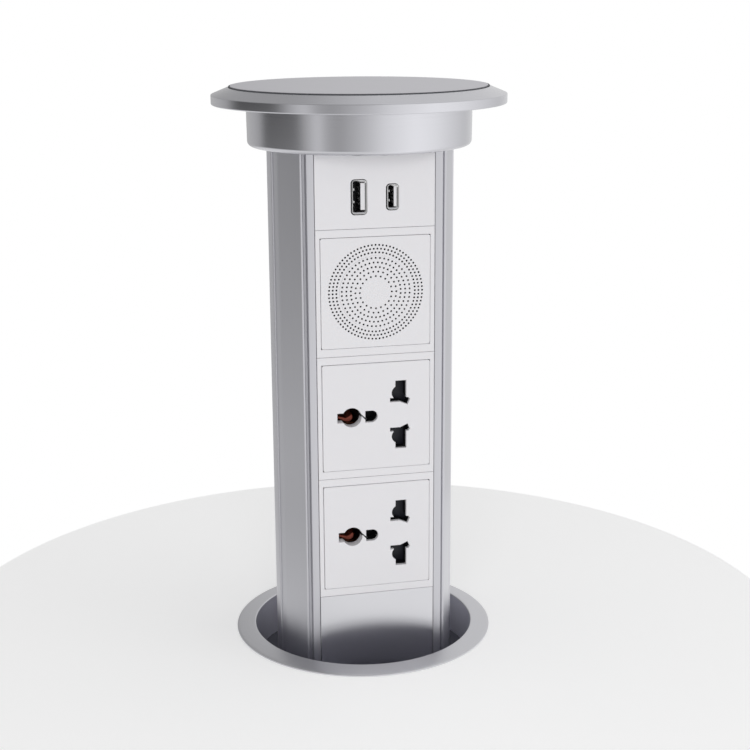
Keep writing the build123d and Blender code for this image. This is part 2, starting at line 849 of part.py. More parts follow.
with BuildPart() as speaker_cone:
    revolve(
        driver_profile(
            [
                (0, cone_front_y + cone_depth - cone_neck_radius / 2),
                (cone_neck_radius, cone_front_y + cone_depth),
                (cone_edge_radius, cone_front_y),
                (cone_edge_radius, cone_front_y + cone_sheet),
                (cone_neck_radius, cone_front_y + cone_depth + cone_sheet),
                (0, cone_front_y + cone_depth + cone_sheet - cone_neck_radius / 2),
            ]
        ),
        axis=driver_axis,
    )
save(speaker_cone, "speaker_cone")

with BuildPart() as speaker_magnet:
    with BuildSketch(Plane.XZ.offset(-(grille_back_y + driver_depth))):
        with Locations((0, speaker_z)):
            Circle(magnet_radius)
    extrude(amount=-magnet_depth)
save(speaker_magnet, "speaker_magnet")

with BuildPart() as audio_board:
    audio_face = front_square(enclosure_back_y, speaker_z, audio_board_size, audio_board_size)
    extrude(audio_face, amount=-board_thickness)
    with BuildSketch(Plane.XZ.offset(-(enclosure_back_y + board_thickness))):
        with Locations((-audio_chip, speaker_z + audio_chip / 2), (audio_chip, speaker_z - audio_chip / 2)):
            Rectangle(audio_chip, audio_chip)
    extrude(amount=-chip_height)
save(audio_board, "audio_board")

# Charging module
with BuildPart() as usb_tile:
    extrude(tile_section(usb_tile_z, frame_y), amount=column_top_z - frame_joint - usb_tile_z)
    for port_x_place, width, height in charging_ports.values():
        extrude(
            front_square(
                frame_y - overrun, ports_z, width + 2 * port_gap, height + 2 * port_gap,
                port_corner + port_gap, x=port_x_place,
            ),
            amount=-(flange_back_y - frame_y + 2 * overrun),
            mode=Mode.SUBTRACT,
        )
    with BuildSketch(Plane.XZ.offset(-flange_back_y)):
        with Locations((-usb_post_x, ports_z), (usb_post_x, ports_z)):
            Circle(usb_post_radius)
    extrude(amount=-(usb_board_y - flange_back_y))
save(usb_tile, "usb_tile")

for label, (port_x_place, width, height) in charging_ports.items():
    with BuildPart() as port_shell:
        shell_face = front_square(port_front_y, ports_z, width, height, port_corner, x=port_x_place)
        extrude(shell_face, amount=-port_depth)
        extrude(
            front_square(
                port_front_y, ports_z, width - 2 * port_wall, height - 2 * port_wall,
                port_corner - port_wall, x=port_x_place,
            ),
            amount=-port_depth,
            mode=Mode.SUBTRACT,
        )
    save(port_shell, f"{label}_shell")

    with BuildPart() as port_tongue:
        tongue_x = port_x_place + tongue_offset_share * width
        tongue_width = tongue_width_share * width
        tongue_height = tongue_height_share * height
        extrude(
            front_square(port_front_y + tongue_recess, ports_z, tongue_width, tongue_height, x=tongue_x),
            amount=-(port_depth - tongue_recess),
        )
        base_inset = 2 * (port_wall + tight_gap)
        base = front_square(
            usb_board_y - insert_base, ports_z, width - base_inset, height - base_inset,
            port_corner - port_wall, x=port_x_place,
        )
        extrude(base, amount=-insert_base)
    save(port_tongue, f"{label}_tongue")

with BuildPart() as usb_board:
    extrude(front_square(usb_board_y, ports_z, usb_board_width, usb_board_height), amount=-board_thickness)
    with BuildSketch(Plane.XZ.offset(-(usb_board_y + board_thickness))):
        with Locations((large_port_x, ports_z), (small_port_x, ports_z)):
            Rectangle(touch_chip, audio_chip)
    extrude(amount=-chip_height)
save(usb_board, "usb_board")

# Turning parts: the lead screw, its coupler and the shaft of the gearbox
with BuildPart() as lead_screw:
    screw_low_z = shaft_meeting_z + shaft_meeting_gap / 2
    screw_top_z = column_bottom_z + lead_screw_above_plate
    extrude(disc(screw_low_z, lead_screw_radius, y=screw_axis_y), amount=screw_top_z - screw_low_z)
    chamfer(lead_screw.edges().group_by(Axis.Z)[-1], length=lead_screw_chamfer)
save(lead_screw, "lead_screw")

with BuildPart() as shaft_coupler:
    extrude(disc(coupler_low_z, coupler_radius, y=screw_axis_y), amount=coupler_length)
    chamfer(shaft_coupler.edges().filter_by(GeomType.CIRCLE), length=coupler_chamfer)
    extrude(
        disc(coupler_low_z, motor_shaft_radius + tight_gap, y=screw_axis_y),
        amount=coupler_length,
        mode=Mode.SUBTRACT,
    )
    extrude(
        disc(shaft_meeting_z, lead_screw_radius + tight_gap, y=screw_axis_y),
        amount=coupler_length / 2,
        mode=Mode.SUBTRACT,
    )
save(shaft_coupler, "shaft_coupler")

with BuildPart() as motor_shaft:
    shaft_low_z = motor_plate_z - shaft_inside_gearbox + running_gap
    extrude(
        disc(shaft_low_z, motor_shaft_radius, y=screw_axis_y),
        amount=shaft_meeting_z - shaft_meeting_gap / 2 - shaft_low_z,
    )
save(motor_shaft, "motor_shaft")

# Desk fitting: trim ring with its threaded sleeve, gasket, washer and clamp nut
with BuildPart() as trim_ring:
    revolve(
        turned_profile(
            [
                (bore_radius, sleeve_low_z),
                (sleeve_radius, sleeve_low_z),
                (sleeve_radius, gasket_thickness),
                (gasket_outer_radius, gasket_thickness),
                (gasket_outer_radius, 0),
                (ring_radius, 0),
                (ring_radius, ring_edge_height),
                (ring_radius - ring_bevel, ring_edge_height + ring_bevel_height),
                (bore_radius + bore_edge, ring_top_z),
                (bore_radius, ring_top_z - bore_edge),
            ]
        )
    )
    add(
        radial_holes(
            bore_radius - overrun, sleeve_radius + overrun, sleeve_screw_z, radial_screws,
            radial_screw_radius + tight_gap,
        ),
        mode=Mode.SUBTRACT,
    )
save(trim_ring, "trim_ring")

with BuildPart() as flange_gasket:
    extrude(disc(0, gasket_outer_radius - tight_gap, sleeve_radius + tight_gap), amount=gasket_thickness)
save(flange_gasket, "flange_gasket")

with BuildPart() as desk_washer:
    extrude(disc(-desk_thickness, washer_radius, sleeve_radius + slide_gap), amount=-washer_thickness)
save(desk_washer, "desk_washer")

with BuildPart() as clamp_nut:
    nut_top_z = -desk_thickness - washer_thickness
    extrude(disc(nut_top_z, clamp_nut_radius, sleeve_radius + tight_gap), amount=-clamp_nut_height)
    with BuildSketch(Plane.XY.offset(nut_top_z)):
        with PolarLocations(clamp_nut_radius + clamp_notch_radius / 2, clamp_nut_notches):
            Circle(clamp_notch_radius)
    extrude(amount=-clamp_nut_height, mode=Mode.SUBTRACT)
save(clamp_nut, "clamp_nut")

# Housing: guide collar, tube, bearing plate, motor and end cap
with BuildPart() as guide_collar:
    extrude(disc(tube_top_z, bore_radius - tight_gap), amount=collar_length)
    with BuildSketch(Plane.XY.offset(tube_top_z)):
        add(column_outline(slide_gap))
        add(column_beads(slide_gap))
        with Locations((0, plate_y - slide_gap)):
            Rectangle(2 * slot_x, side_radius, align=(Align.CENTER, Align.MIN))
    extrude(amount=collar_length, mode=Mode.SUBTRACT)
save(guide_collar, "guide_collar")

with BuildPart() as housing_tube:
    extrude(disc(tube_low_z, tube_radius, tube_bore), amount=tube_top_z - tube_low_z)
    for z in (sleeve_screw_z, bearing_screw_z, cap_screw_z):
        add(
            radial_holes(
                tube_bore - overrun, tube_radius + overrun, z, radial_screws, radial_screw_radius + tight_gap
            ),
            mode=Mode.SUBTRACT,
        )
save(housing_tube, "housing_tube")

with BuildPart() as sleeve_screws:
    add(radial_holes(tube_bore, sleeve_radius, sleeve_screw_z, radial_screws, radial_screw_radius))
save(sleeve_screws, "sleeve_screws")

with BuildPart() as tube_screws:
    head_top = tube_radius + radial_screw_head_height
    for z in (bearing_screw_z, cap_screw_z):
        add(radial_holes(tube_radius - radial_screw_bite, head_top, z, radial_screws, radial_screw_radius))
        add(radial_holes(tube_radius, head_top, z, radial_screws, radial_screw_head_radius))
save(tube_screws, "tube_screws")

with BuildPart() as bearing_plate:
    extrude(disc(bearing_plate_z, tube_bore - tight_gap), amount=bearing_plate_thickness)
    extrude(
        disc(bearing_plate_z, lead_screw_radius + overrun, y=screw_axis_y),
        amount=bearing_plate_thickness,
        mode=Mode.SUBTRACT,
    )
    extrude(
        disc(bearing_top_z, bearing_radius + tight_gap, y=screw_axis_y),
        amount=-bearing_height,
        mode=Mode.SUBTRACT,
    )
    add(
        radial_holes(
            tube_radius - radial_screw_bite - tight_gap, tube_radius, bearing_screw_z, radial_screws,
            radial_screw_radius + tight_gap,
        ),
        mode=Mode.SUBTRACT,
    )
save(bearing_plate, "bearing_plate")

with BuildPart() as screw_bearing:
    bearing_face = disc(bearing_top_z, bearing_radius, lead_screw_radius + running_gap, y=screw_axis_y)
    extrude(bearing_face, amount=-bearing_height)
save(screw_bearing, "screw_bearing")

with BuildPart() as motor_spacers:
    with BuildSketch(Plane.XY.offset(motor_plate_top_z)):
        with Locations(mirrored_places(spacer_x, spacer_y)):
            Circle(spacer_radius)
    extrude(amount=bearing_plate_z - motor_plate_top_z)
save(motor_spacers, "motor_spacers")

with BuildPart() as motor_plate:
    extrude(disc(motor_plate_z, tube_bore - slide_gap), amount=motor_plate_thickness)
    with BuildSketch(Plane.XY.offset(motor_plate_z)):
        with Locations((0, screw_axis_y)):
            Circle(gearbox_boss_radius + tight_gap)
        with Locations((0, motor_plate_slot_y)):
            SlotOverall(motor_plate_slot_length, motor_plate_slot_width)
    extrude(amount=motor_plate_thickness, mode=Mode.SUBTRACT)
save(motor_plate, "motor_plate")

with BuildPart() as gearbox:
    extrude(disc(gearbox_low_z, gearbox_radius, y=screw_axis_y), amount=gearbox_length)
    extrude(disc(motor_plate_z, gearbox_boss_radius, y=screw_axis_y), amount=motor_plate_thickness)
    extrude(
        disc(motor_plate_top_z, motor_shaft_radius + running_gap, y=screw_axis_y),
        amount=-(motor_plate_thickness + shaft_inside_gearbox),
        mode=Mode.SUBTRACT,
    )
save(gearbox, "gearbox")

with BuildPart() as motor:
    extrude(disc(motor_low_z, motor_radius, y=screw_axis_y), amount=motor_length)
    chamfer(motor.edges().group_by(Axis.Z)[0], length=motor_edge)
    extrude(disc(motor_low_z, motor_boss_radius, y=screw_axis_y), amount=-motor_boss_height)
save(motor, "motor")

with BuildPart() as end_cap:
    extrude(disc(tube_low_z, cap_radius), amount=-cap_thickness)
    chamfer(end_cap.edges().group_by(Axis.Z)[0], length=cap_edge)
    cap_spigot = disc(tube_low_z, tube_bore - tight_gap, tube_bore - tight_gap - cap_rim_wall)
    extrude(cap_spigot, amount=cap_rim_height)
    for side in (-1, 1):
        rib_y = control_board_y + side * (board_thickness + board_slot_depth) / 2 + side * tight_gap
        with BuildSketch(Plane.XY.offset(tube_low_z)):
            with Locations((0, rib_y)):
                Rectangle(control_board_width, board_slot_depth)
        extrude(amount=board_slot_depth)
    gland_hole = disc(tube_low_z, gland_thread_radius + tight_gap, y=gland_y)
    extrude(gland_hole, amount=-cap_thickness, mode=Mode.SUBTRACT)
    add(
        radial_holes(
            tube_radius - radial_screw_bite - overrun, tube_radius, cap_screw_z, radial_screws,
            radial_screw_radius + tight_gap,
        ),
        mode=Mode.SUBTRACT,
    )
save(end_cap, "end_cap")

with BuildPart() as cable_gland:
    gland_top_z = tube_low_z + gland_nut_height
    extrude(disc(gland_top_z, gland_thread_radius, y=gland_y), amount=-(gland_nut_height + cap_thickness))
    with BuildSketch(Plane.XY.offset(cap_low_z)):
        with Locations((0, gland_y)):
            RegularPolygon(gland_head_radius, 6)
    extrude(amount=-gland_head_length)
    with BuildSketch(Plane.XY.offset(cap_low_z - gland_head_length)):
        with Locations((0, gland_y)):
            Circle(gland_dome_radius)
    with BuildSketch(Plane.XY.offset(cap_low_z - gland_head_length - gland_dome_length)):
        with Locations((0, gland_y)):
            Circle(gland_mouth_radius)
    loft()
    extrude(
        disc(gland_top_z, gland_bore_radius, y=gland_y),
        amount=-(gland_top_z - cap_low_z + gland_head_length + gland_dome_length),
        mode=Mode.SUBTRACT,
    )
save(cable_gland, "cable_gland")

with BuildPart() as gland_nut:
    with BuildSketch(Plane.XY.offset(tube_low_z)):
        with Locations((0, gland_y)):
            RegularPolygon(gland_nut_radius, 6)
            Circle(gland_thread_radius + tight_gap, mode=Mode.SUBTRACT)
    extrude(amount=gland_nut_height)
save(gland_nut, "gland_nut")

with BuildPart() as control_board:
    board_z = tube_low_z + control_board_height / 2
    board_front_y = control_board_y - board_thickness / 2
    board_face = front_square(board_front_y, board_z, control_board_width, control_board_height)
    extrude(board_face, amount=-board_thickness)
    for side in (-1, 1):
        relay = front_square(board_front_y, board_z, relay_width, relay_height, x=side * relay_width)
        extrude(relay, amount=relay_depth)
    terminal_z = board_z + (control_board_height - terminal_height) / 2 - terminal_drop
    extrude(front_square(board_front_y, terminal_z, terminal_width, terminal_height), amount=terminal_depth)
save(control_board, "control_board")

with BuildPart() as hall_sensors:
    for z in (end_plate_z, end_plate_z - travel):
        sensor = front_square(
            tube_radius - sensor_wrap, z + end_plate_thickness / 2, sensor_width, sensor_height
        )
        extrude(sensor, amount=-sensor_depth)
    extrude(disc(tube_low_z, tube_radius), amount=tube_top_z - tube_low_z, mode=Mode.SUBTRACT)
save(hall_sensors, "hall_sensors")
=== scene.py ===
import json
import math

import bmesh
import bpy
from mathutils import Matrix, Vector
from mathutils.geometry import tessellate_polygon


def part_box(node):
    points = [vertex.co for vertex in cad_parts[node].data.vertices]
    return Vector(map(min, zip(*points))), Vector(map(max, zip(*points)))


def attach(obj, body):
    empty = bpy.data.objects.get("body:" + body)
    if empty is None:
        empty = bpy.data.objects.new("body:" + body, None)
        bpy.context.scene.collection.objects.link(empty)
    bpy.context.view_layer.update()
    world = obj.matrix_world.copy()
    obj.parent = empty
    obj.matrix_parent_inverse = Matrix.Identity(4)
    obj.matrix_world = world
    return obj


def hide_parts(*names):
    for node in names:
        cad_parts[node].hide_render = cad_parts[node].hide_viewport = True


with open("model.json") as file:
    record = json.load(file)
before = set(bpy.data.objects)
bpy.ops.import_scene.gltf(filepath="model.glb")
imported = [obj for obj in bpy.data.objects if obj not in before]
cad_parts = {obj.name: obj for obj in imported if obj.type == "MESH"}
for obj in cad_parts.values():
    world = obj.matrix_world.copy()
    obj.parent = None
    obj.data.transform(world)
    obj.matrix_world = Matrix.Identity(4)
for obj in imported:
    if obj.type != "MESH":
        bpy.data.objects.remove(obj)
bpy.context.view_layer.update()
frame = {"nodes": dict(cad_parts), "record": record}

# Sizes are in millimetres unless a comment says otherwise, and become metres when a mesh is made.
MM = 0.001
NODES = frame["nodes"]
SLOT_OF = {part["node"]: part["material_slot"] for part in frame["record"]["subparts"]}

# Mesh code
TINY = 1e-6
READ_ERROR = 0.01  # how far a corner of a CAD mesh may lie from where it is looked for
LEVEL_ERROR = 0.001  # the same for a face's level
KEY_DIGITS = 4  # decimals to which the corners of two faces are matched
STRAIGHT = math.radians(160)  # a corner flatter than this stays as it is
LARGEST_CUT = 0.45  # share of a side that one rounded corner may take
LEAST_LEAN = 0.4  # keeps the sharp corners of an outline that moves inwards from running away
CREASE = math.radians(35)
CAD_CREASE = math.radians(30)
FULL_TURN = 2 * math.pi
LARGE_ROUND = 256  # sides of a large round piece
X_AXIS, Y_AXIS, Z_AXIS = range(3)


# Outlines

def rounded(corners, radius, steps=4):
    """A closed outline with its corners rounded. A corner (x, y, r) has a radius of its own."""
    points = []
    count = len(corners)
    for i, corner in enumerate(corners):
        here = Vector(corner[:2])
        back = Vector(corners[i - 1][:2]) - here
        ahead = Vector(corners[(i + 1) % count][:2]) - here
        r = corner[2] if len(corner) > 2 else radius
        turn = back.angle(ahead)
        if r == 0 or turn > STRAIGHT:
            points.append(tuple(here))
            continue
        cut = min(r / math.tan(turn / 2), LARGEST_CUT * back.length, LARGEST_CUT * ahead.length)
        r = cut * math.tan(turn / 2)
        centre = here + (back.normalized() + ahead.normalized()).normalized() * (r / math.sin(turn / 2))
        first = here + back.normalized() * cut - centre
        last = here + ahead.normalized() * cut - centre
        swing = first.angle_signed(last)
        for k in range(steps + 1):
            spoke = first.copy()
            spoke.rotate(Matrix.Rotation(-swing * k / steps, 2))
            points.append(tuple(centre + spoke))
    return points


def circle(x, y, radius, count, start=0.0):
    """A round outline."""
    angles = [start + FULL_TURN * k / count for k in range(count)]
    return [(x + radius * math.cos(a), y + radius * math.sin(a)) for a in angles]


def box(left, right, foot, top):
    """An outline with square corners."""
    return [(left, foot), (right, foot), (right, top), (left, top)]


def area(loop):
    """Signed area of a closed outline, above 0 when it runs anticlockwise."""
    return sum(a[0] * b[1] - b[0] * a[1] for a, b in zip(loop, loop[1:] + loop[:1])) / 2


def face_loops(node, axis, level):
    """The outlines of a CAD node's flat face at a level along an axis, in mm, the outermost first."""
    mesh = NODES[node].data
    places = [vertex.co / MM for vertex in mesh.vertices]
    rest = [i for i in (X_AXIS, Y_AXIS, Z_AXIS) if i != axis]
    used = {}
    for polygon in mesh.polygons:
        if any(abs(places[v][axis] - level) >= LEVEL_ERROR for v in polygon.vertices):
            continue
        keys = [tuple(round(places[v][i], KEY_DIGITS) for i in rest) for v in polygon.vertices]
        for a, b in zip(keys, keys[1:] + keys[:1]):
            used[(a, b)] = True
    ends = {a: b for a, b in used if (b, a) not in used}
    loops = []
    while ends:
        first = next(iter(ends))
        loop = []
        here = first
        while here in ends:
            loop.append(here)
            here = ends.pop(here)
        loops.append(loop)
    return sorted(loops, key=lambda loop: -abs(area(loop)))


def inset(loop, distance):
    """The outline moved inwards, or outwards round a hole."""
    result = []
    for i, here in enumerate(loop):
        back = (Vector(here) - Vector(loop[i - 1])).normalized()
        ahead = (Vector(loop[(i + 1) % len(loop)]) - Vector(here)).normalized()
        side = Vector((-back.y - ahead.y, back.x + ahead.x))
        if side.length < TINY:
            result.append(here)
            continue
        side.normalize()
        lean = max(LEAST_LEAN, side.dot(Vector((-back.y, back.x))))
        result.append(tuple(Vector(here) + side * distance / lean))
    return result


def grown(loop, distance):
    """The outline made larger, or smaller below 0, whichever way it runs."""
    return inset(loop, -distance if area(loop) > 0 else distance)


def moved(loop, right, rise):
    """The outline in another place."""
    return [(u + right, v + rise) for u, v in loop]


# Pieces

def piece(name, points, faces, material, body, stands_for=()):
    """Makes one object from points in mm, with smooth faces and sharp creases, on its CAD body."""
    mesh = bpy.data.meshes.new(name)
    mesh.from_pydata([[c * MM for c in p] for p in points], [], faces)
    shape = bmesh.new()
    shape.from_mesh(mesh)
    bmesh.ops.recalc_face_normals(shape, faces=shape.faces)
    shape.to_mesh(mesh)
    shape.free()
    mesh.polygons.foreach_set("use_smooth", [True] * len(mesh.polygons))
    mesh.set_sharp_from_angle(angle=CREASE)
    mesh.materials.append(material)
    obj = bpy.data.objects.new(name, mesh)
    bpy.context.scene.collection.objects.link(obj)
    weighting = obj.modifiers.new("even_normals", "WEIGHTED_NORMAL")
    weighting.keep_sharp = True
    if body:
        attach(obj, body)
    if stands_for:
        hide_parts(*stands_for)
    return obj


def lathe(name, outline, material, body, stands_for=()):
    """Turns a closed outline of (radius, height) about the vertical axis."""
    points = []
    rings = []
    for r, z in outline:
        count = LARGE_ROUND if r > TINY else 1
        rings.append(list(range(len(points), len(points) + count)))
        points += [(x, y, z) for x, y in circle(0, 0, r, count)]
    faces = []
    for ring, after in zip(rings, rings[1:] + rings[:1]):
        for k in range(LARGE_ROUND):
            n = (k + 1) % LARGE_ROUND
            corners = [ring[k % len(ring)], ring[n % len(ring)]]
            corners += [after[n % len(after)], after[k % len(after)]]
            corners = list(dict.fromkeys(corners))
            if len(corners) > 2:
                faces.append(corners)
    return piece(name, points, faces, material, body, stands_for)


def upright(u, v, w):
    """Places an outline drawn from above, with w as its height."""
    return (u, v, w)


def facing(u, v, w):
    """Places an outline drawn from the front, with w as its distance towards -Y."""
    return (u, -w, v)


def prism(name, loops, low, high, material, body, stands_for=(), place=facing, *, edge, steps=3):
    """A plate with rounded rims. The first outline is its edge and the others are holes. One radius is given
    for all rims or one for each outline."""
    loops = [loop if (area(loop) > 0) == (i == 0) else loop[::-1] for i, loop in enumerate(loops)]
    edges = edge if isinstance(edge, tuple) else (edge,) * len(loops)
    angles = [math.pi / 2 * k / steps for k in range(steps + 1)]
    bands = [(1 - math.sin(a), low, 1 - math.cos(a)) for a in angles]
    bands += [(1 - math.sin(a), high, math.cos(a) - 1) for a in reversed(angles)]
    points = []
    for shift, level, rise in bands:
        for loop, r in zip(loops, edges):
            points += [place(u, v, level + r * rise) for u, v in (inset(loop, r * shift) if shift else loop)]
    total = sum(len(loop) for loop in loops)
    faces = []
    start = 0
    for loop in loops:
        count = len(loop)
        for band in range(len(bands) - 1):
            for k in range(count):
                n = (k + 1) % count
                a = band * total + start
                faces.append((a + k, a + n, a + n + total, a + k + total))
        start += count
    flat = [[Vector((u, v, 0)) for u, v in inset(loop, r)] for loop, r in zip(loops, edges)]
    cap = tessellate_polygon(flat)
    top = (len(bands) - 1) * total
    faces += [tuple(corner) for corner in cap]
    faces += [tuple(top + index for index in corner) for corner in cap]
    return piece(name, points, faces, material, body, stands_for)


# Materials

def linear(code):
    """An sRGB hex colour as linear light."""
    parts = [int(code[i:i + 2], 16) / 255 for i in (1, 3, 5)]
    return [c / 12.92 if c <= 0.04045 else ((c + 0.055) / 1.055) ** 2.4 for c in parts] + [1.0]


def add(tree, kind, sockets=(), **values):
    """Adds a shader node. Values are its settings or sockets by name, and an output as a value is linked."""
    node = tree.nodes.new("ShaderNode" + kind)
    pairs = list(enumerate(sockets))
    for key, value in values.items():
        if hasattr(node, key):
            setattr(node, key, value)
        else:
            pairs.append((key.replace("_", " "), value))
    for key, value in pairs:
        if isinstance(value, bpy.types.NodeSocket):
            tree.links.new(value, node.inputs[key])
        else:
            node.inputs[key].default_value = value
    return node


def new_material(name):
    """A node material and its Principled shader."""
    material = bpy.data.materials.new(name)
    material.use_nodes = True
    return material, material.node_tree, material.node_tree.nodes["Principled BSDF"]


def grain(tree, size, detail=2.0):
    """Noise with cells of a size in mm along X, Y and Z."""
    place = add(tree, "TexCoord").outputs["Object"]
    cells = add(tree, "VectorMath", [place, [1 / (s * MM) for s in size]], operation="MULTIPLY")
    return add(tree, "TexNoise", Vector=cells.outputs[0], Scale=1.0, Detail=detail).outputs["Fac"]


def turned_grain(tree, step, detail=2.0):
    """Noise in rings round the vertical axis, with a step in mm between two rings."""
    place = add(tree, "TexCoord").outputs["Object"]
    axes = add(tree, "SeparateXYZ", [place])
    flat = add(tree, "CombineXYZ", [axes.outputs["X"], axes.outputs["Y"], 0.0])
    radius = add(tree, "VectorMath", [flat.outputs[0]], operation="LENGTH").outputs["Value"]
    along = add(tree, "CombineXYZ", [radius, 0.0, axes.outputs["Z"]])
    cells = add(tree, "VectorMath", [along.outputs[0], [1 / (step * MM)] * 3], operation="MULTIPLY")
    return add(tree, "TexNoise", Vector=cells.outputs[0], Scale=1.0, Detail=detail).outputs["Fac"]


def uneven(tree, shader, noise, colour, spread, rough, height):
    """Lets a noise vary a colour by a share, the roughness between two values and the height by mm."""
    dark = [c * (1 - spread) for c in linear(colour)[:3]] + [1.0]
    mixed = add(tree, "Mix", data_type="RGBA")
    tree.links.new(noise, mixed.inputs["Factor"])
    mixed.inputs[6].default_value = dark
    mixed.inputs[7].default_value = linear(colour)
    tree.links.new(mixed.outputs[2], shader.inputs["Base Color"])
    spread_out = add(tree, "MapRange", Value=noise, To_Min=rough[0], To_Max=rough[1])
    tree.links.new(spread_out.outputs["Result"], shader.inputs["Roughness"])
    bump = add(tree, "Bump", Height=noise, Distance=height * MM)
    tree.links.new(bump.outputs["Normal"], shader.inputs["Normal"])


def extruded_aluminium():
    """Satin anodised extrusion: cool grey metal with very fine lines along its length."""
    material, tree, shader = new_material("satin_anodised_extrusion")
    shader.inputs["Metallic"].default_value = 1.0
    uneven(tree, shader, grain(tree, (0.12, 0.12, 14.0)), "#d2d2d7", 0.08, (0.36, 0.44), 0.002)
    return material


def turned_aluminium():
    """Satin anodised turned metal of the lid: soft sheen with faint tool rings."""
    material, tree, shader = new_material("satin_anodised_turned")
    shader.inputs["Metallic"].default_value = 1.0
    uneven(tree, shader, turned_grain(tree, 0.2), "#cfcfd4", 0.08, (0.19, 0.26), 0.0015)
    return material


def disc_aluminium():
    """Blasted metal of the touch disc: even, slightly rougher than the rim round it."""
    material, tree, shader = new_material("fine_blasted_disc")
    shader.inputs["Metallic"].default_value = 1.0
    uneven(tree, shader, grain(tree, (0.15, 0.15, 0.15), 3.0), "#cecdd3", 0.08, (0.36, 0.44), 0.002)
    return material


def ring_aluminium():
    """Satin metal of the desk ring: flat grey with a soft sheen."""
    material, tree, shader = new_material("satin_desk_ring")
    shader.inputs["Metallic"].default_value = 1.0
    uneven(tree, shader, turned_grain(tree, 0.25), "#d6d6da", 0.08, (0.32, 0.4), 0.0015)
    return material


def plate_aluminium():
    """Bare metal plate below the outlets: brushed upwards and bright enough to mirror the ring."""
    material, tree, shader = new_material("brushed_bright_plate")
    shader.inputs["Metallic"].default_value = 1.0
    uneven(tree, shader, grain(tree, (0.1, 0.1, 20.0)), "#d9d9dd", 0.06, (0.17, 0.26), 0.001)
    return material


def tube_aluminium():
    """Mill finish of the tube under the desk: dull grey metal with drawn lines."""
    material, tree, shader = new_material("mill_finish_tube")
    shader.inputs["Metallic"].default_value = 1.0
    uneven(tree, shader, grain(tree, (0.4, 0.4, 30.0), 3.0), "#bdbec2", 0.14, (0.34, 0.48), 0.004)
    return material


def white_plastic():
    """Satin white thermoplastic of the modules: faintly cool, with a very fine texture."""
    material, tree, shader = new_material("satin_white_thermoplastic")
    shader.inputs["Subsurface Weight"].default_value = 0.05
    shader.inputs["Subsurface Radius"].default_value = (0.0012, 0.0010, 0.0009)
    uneven(tree, shader, grain(tree, (0.18, 0.18, 0.18), 3.0), "#e6e5e8", 0.015, (0.36, 0.44), 0.002)
    return material


def black_plastic():
    """Glass filled black nylon: nearly black, with a dull grained sheen."""
    material, tree, shader = new_material("black_filled_nylon")
    uneven(tree, shader, grain(tree, (0.35, 0.35, 0.35), 3.0), "#141417", 0.3, (0.42, 0.58), 0.01)
    return material


def grey_plastic():
    """Nearly black navy acetal of the shutters and the guide ring: smooth and a little waxy."""
    material, tree, shader = new_material("navy_black_acetal")
    uneven(tree, shader, grain(tree, (0.6, 0.6, 0.6)), "#191a24", 0.12, (0.4, 0.5), 0.003)
    return material


def black_rubber():
    """Black nitrile rubber of the seals: matt with a dusty bloom."""
    material, tree, shader = new_material("black_nitrile_rubber")
    uneven(tree, shader, grain(tree, (0.25, 0.25, 0.25), 4.0), "#1b1c1f", 0.4, (0.7, 0.85), 0.006)
    return material


def charcoal_groove_shade_rubber():
    """Charcoal silicone of the ring round the disc: matt, a shade lighter than the seals. Its darkness is
    partly painted shade for the shadow in the groove between the disc and the rim.
    """
    material, tree, shader = new_material("charcoal_silicone_groove_shade")
    uneven(tree, shader, grain(tree, (0.25, 0.25, 0.25), 3.0), "#4a4b50", 0.2, (0.55, 0.7), 0.003)
    return material


def pale_bore_painted_light():
    """Inside of the sleeve: dull metal, painted pale and bluish. The paleness is painted light for the light
    that falls into the bore.
    """
    material, tree, shader = new_material("pale_bore_lining_painted_light")
    shader.inputs["Metallic"].default_value = 0.3
    uneven(tree, shader, grain(tree, (0.2, 0.2, 0.2), 3.0), "#d2d2de", 0.1, (0.5, 0.6), 0.003)
    return material


def slate_plastic():
    """Slate grey nylon of the guide collar: dull, with a fine grain. Its grey, lighter than black nylon, is
    painted light for the bore.
    """
    material, tree, shader = new_material("slate_grey_nylon")
    uneven(tree, shader, grain(tree, (0.3, 0.3, 0.3), 3.0), "#5c5c66", 0.15, (0.45, 0.55), 0.005)
    return material


def speaker_cloth():
    """Black woven cloth behind the speaker's holes: matt, with a fine weave."""
    material, tree, shader = new_material("black_speaker_cloth")
    uneven(tree, shader, grain(tree, (0.15, 0.15, 0.15), 2.0), "#0b0b0d", 0.5, (0.85, 0.95), 0.01)
    return material


def plated_shell():
    """Nickel plated sheet of the charging ports: bright with faint press lines."""
    material, tree, shader = new_material("nickel_plated_sheet")
    shader.inputs["Metallic"].default_value = 1.0
    uneven(tree, shader, grain(tree, (0.3, 4.0, 0.3)), "#e0e0e0", 0.06, (0.1, 0.2), 0.001)
    return material


def copper_contact():
    """Phosphor bronze springs in the outlets: reddish metal with a slight tarnish."""
    material, tree, shader = new_material("phosphor_bronze_spring")
    shader.inputs["Metallic"].default_value = 1.0
    uneven(tree, shader, grain(tree, (1.6, 1.6, 1.6), 3.0), "#c98468", 0.35, (0.22, 0.4), 0.003)
    return material


def dull_copper_leaf():
    """The copper leaf in the earth holes: a dull brownish red, darker and less metallic than the springs."""
    material, tree, shader = new_material("dull_brownish_copper_leaf")
    shader.inputs["Metallic"].default_value = 0.7
    uneven(tree, shader, grain(tree, (1.2, 1.2, 0.8), 3.0), "#8f4a3c", 0.45, (0.3, 0.5), 0.004)
    return material


def zinc_steel():
    """Bright zinc plate on the screws, shafts and the motor: bluish grey and a little cloudy."""
    material, tree, shader = new_material("bright_zinc_plate")
    shader.inputs["Metallic"].default_value = 1.0
    uneven(tree, shader, grain(tree, (2.5, 2.5, 2.5), 4.0), "#c3c6ca", 0.18, (0.24, 0.4), 0.003)
    return material


def magnet_ferrite():
    """Sintered ferrite: dark grey, matt and grainy."""
    material, tree, shader = new_material("sintered_ferrite")
    uneven(tree, shader, grain(tree, (0.3, 0.3, 0.3), 4.0), "#33333a", 0.3, (0.55, 0.7), 0.01)
    return material


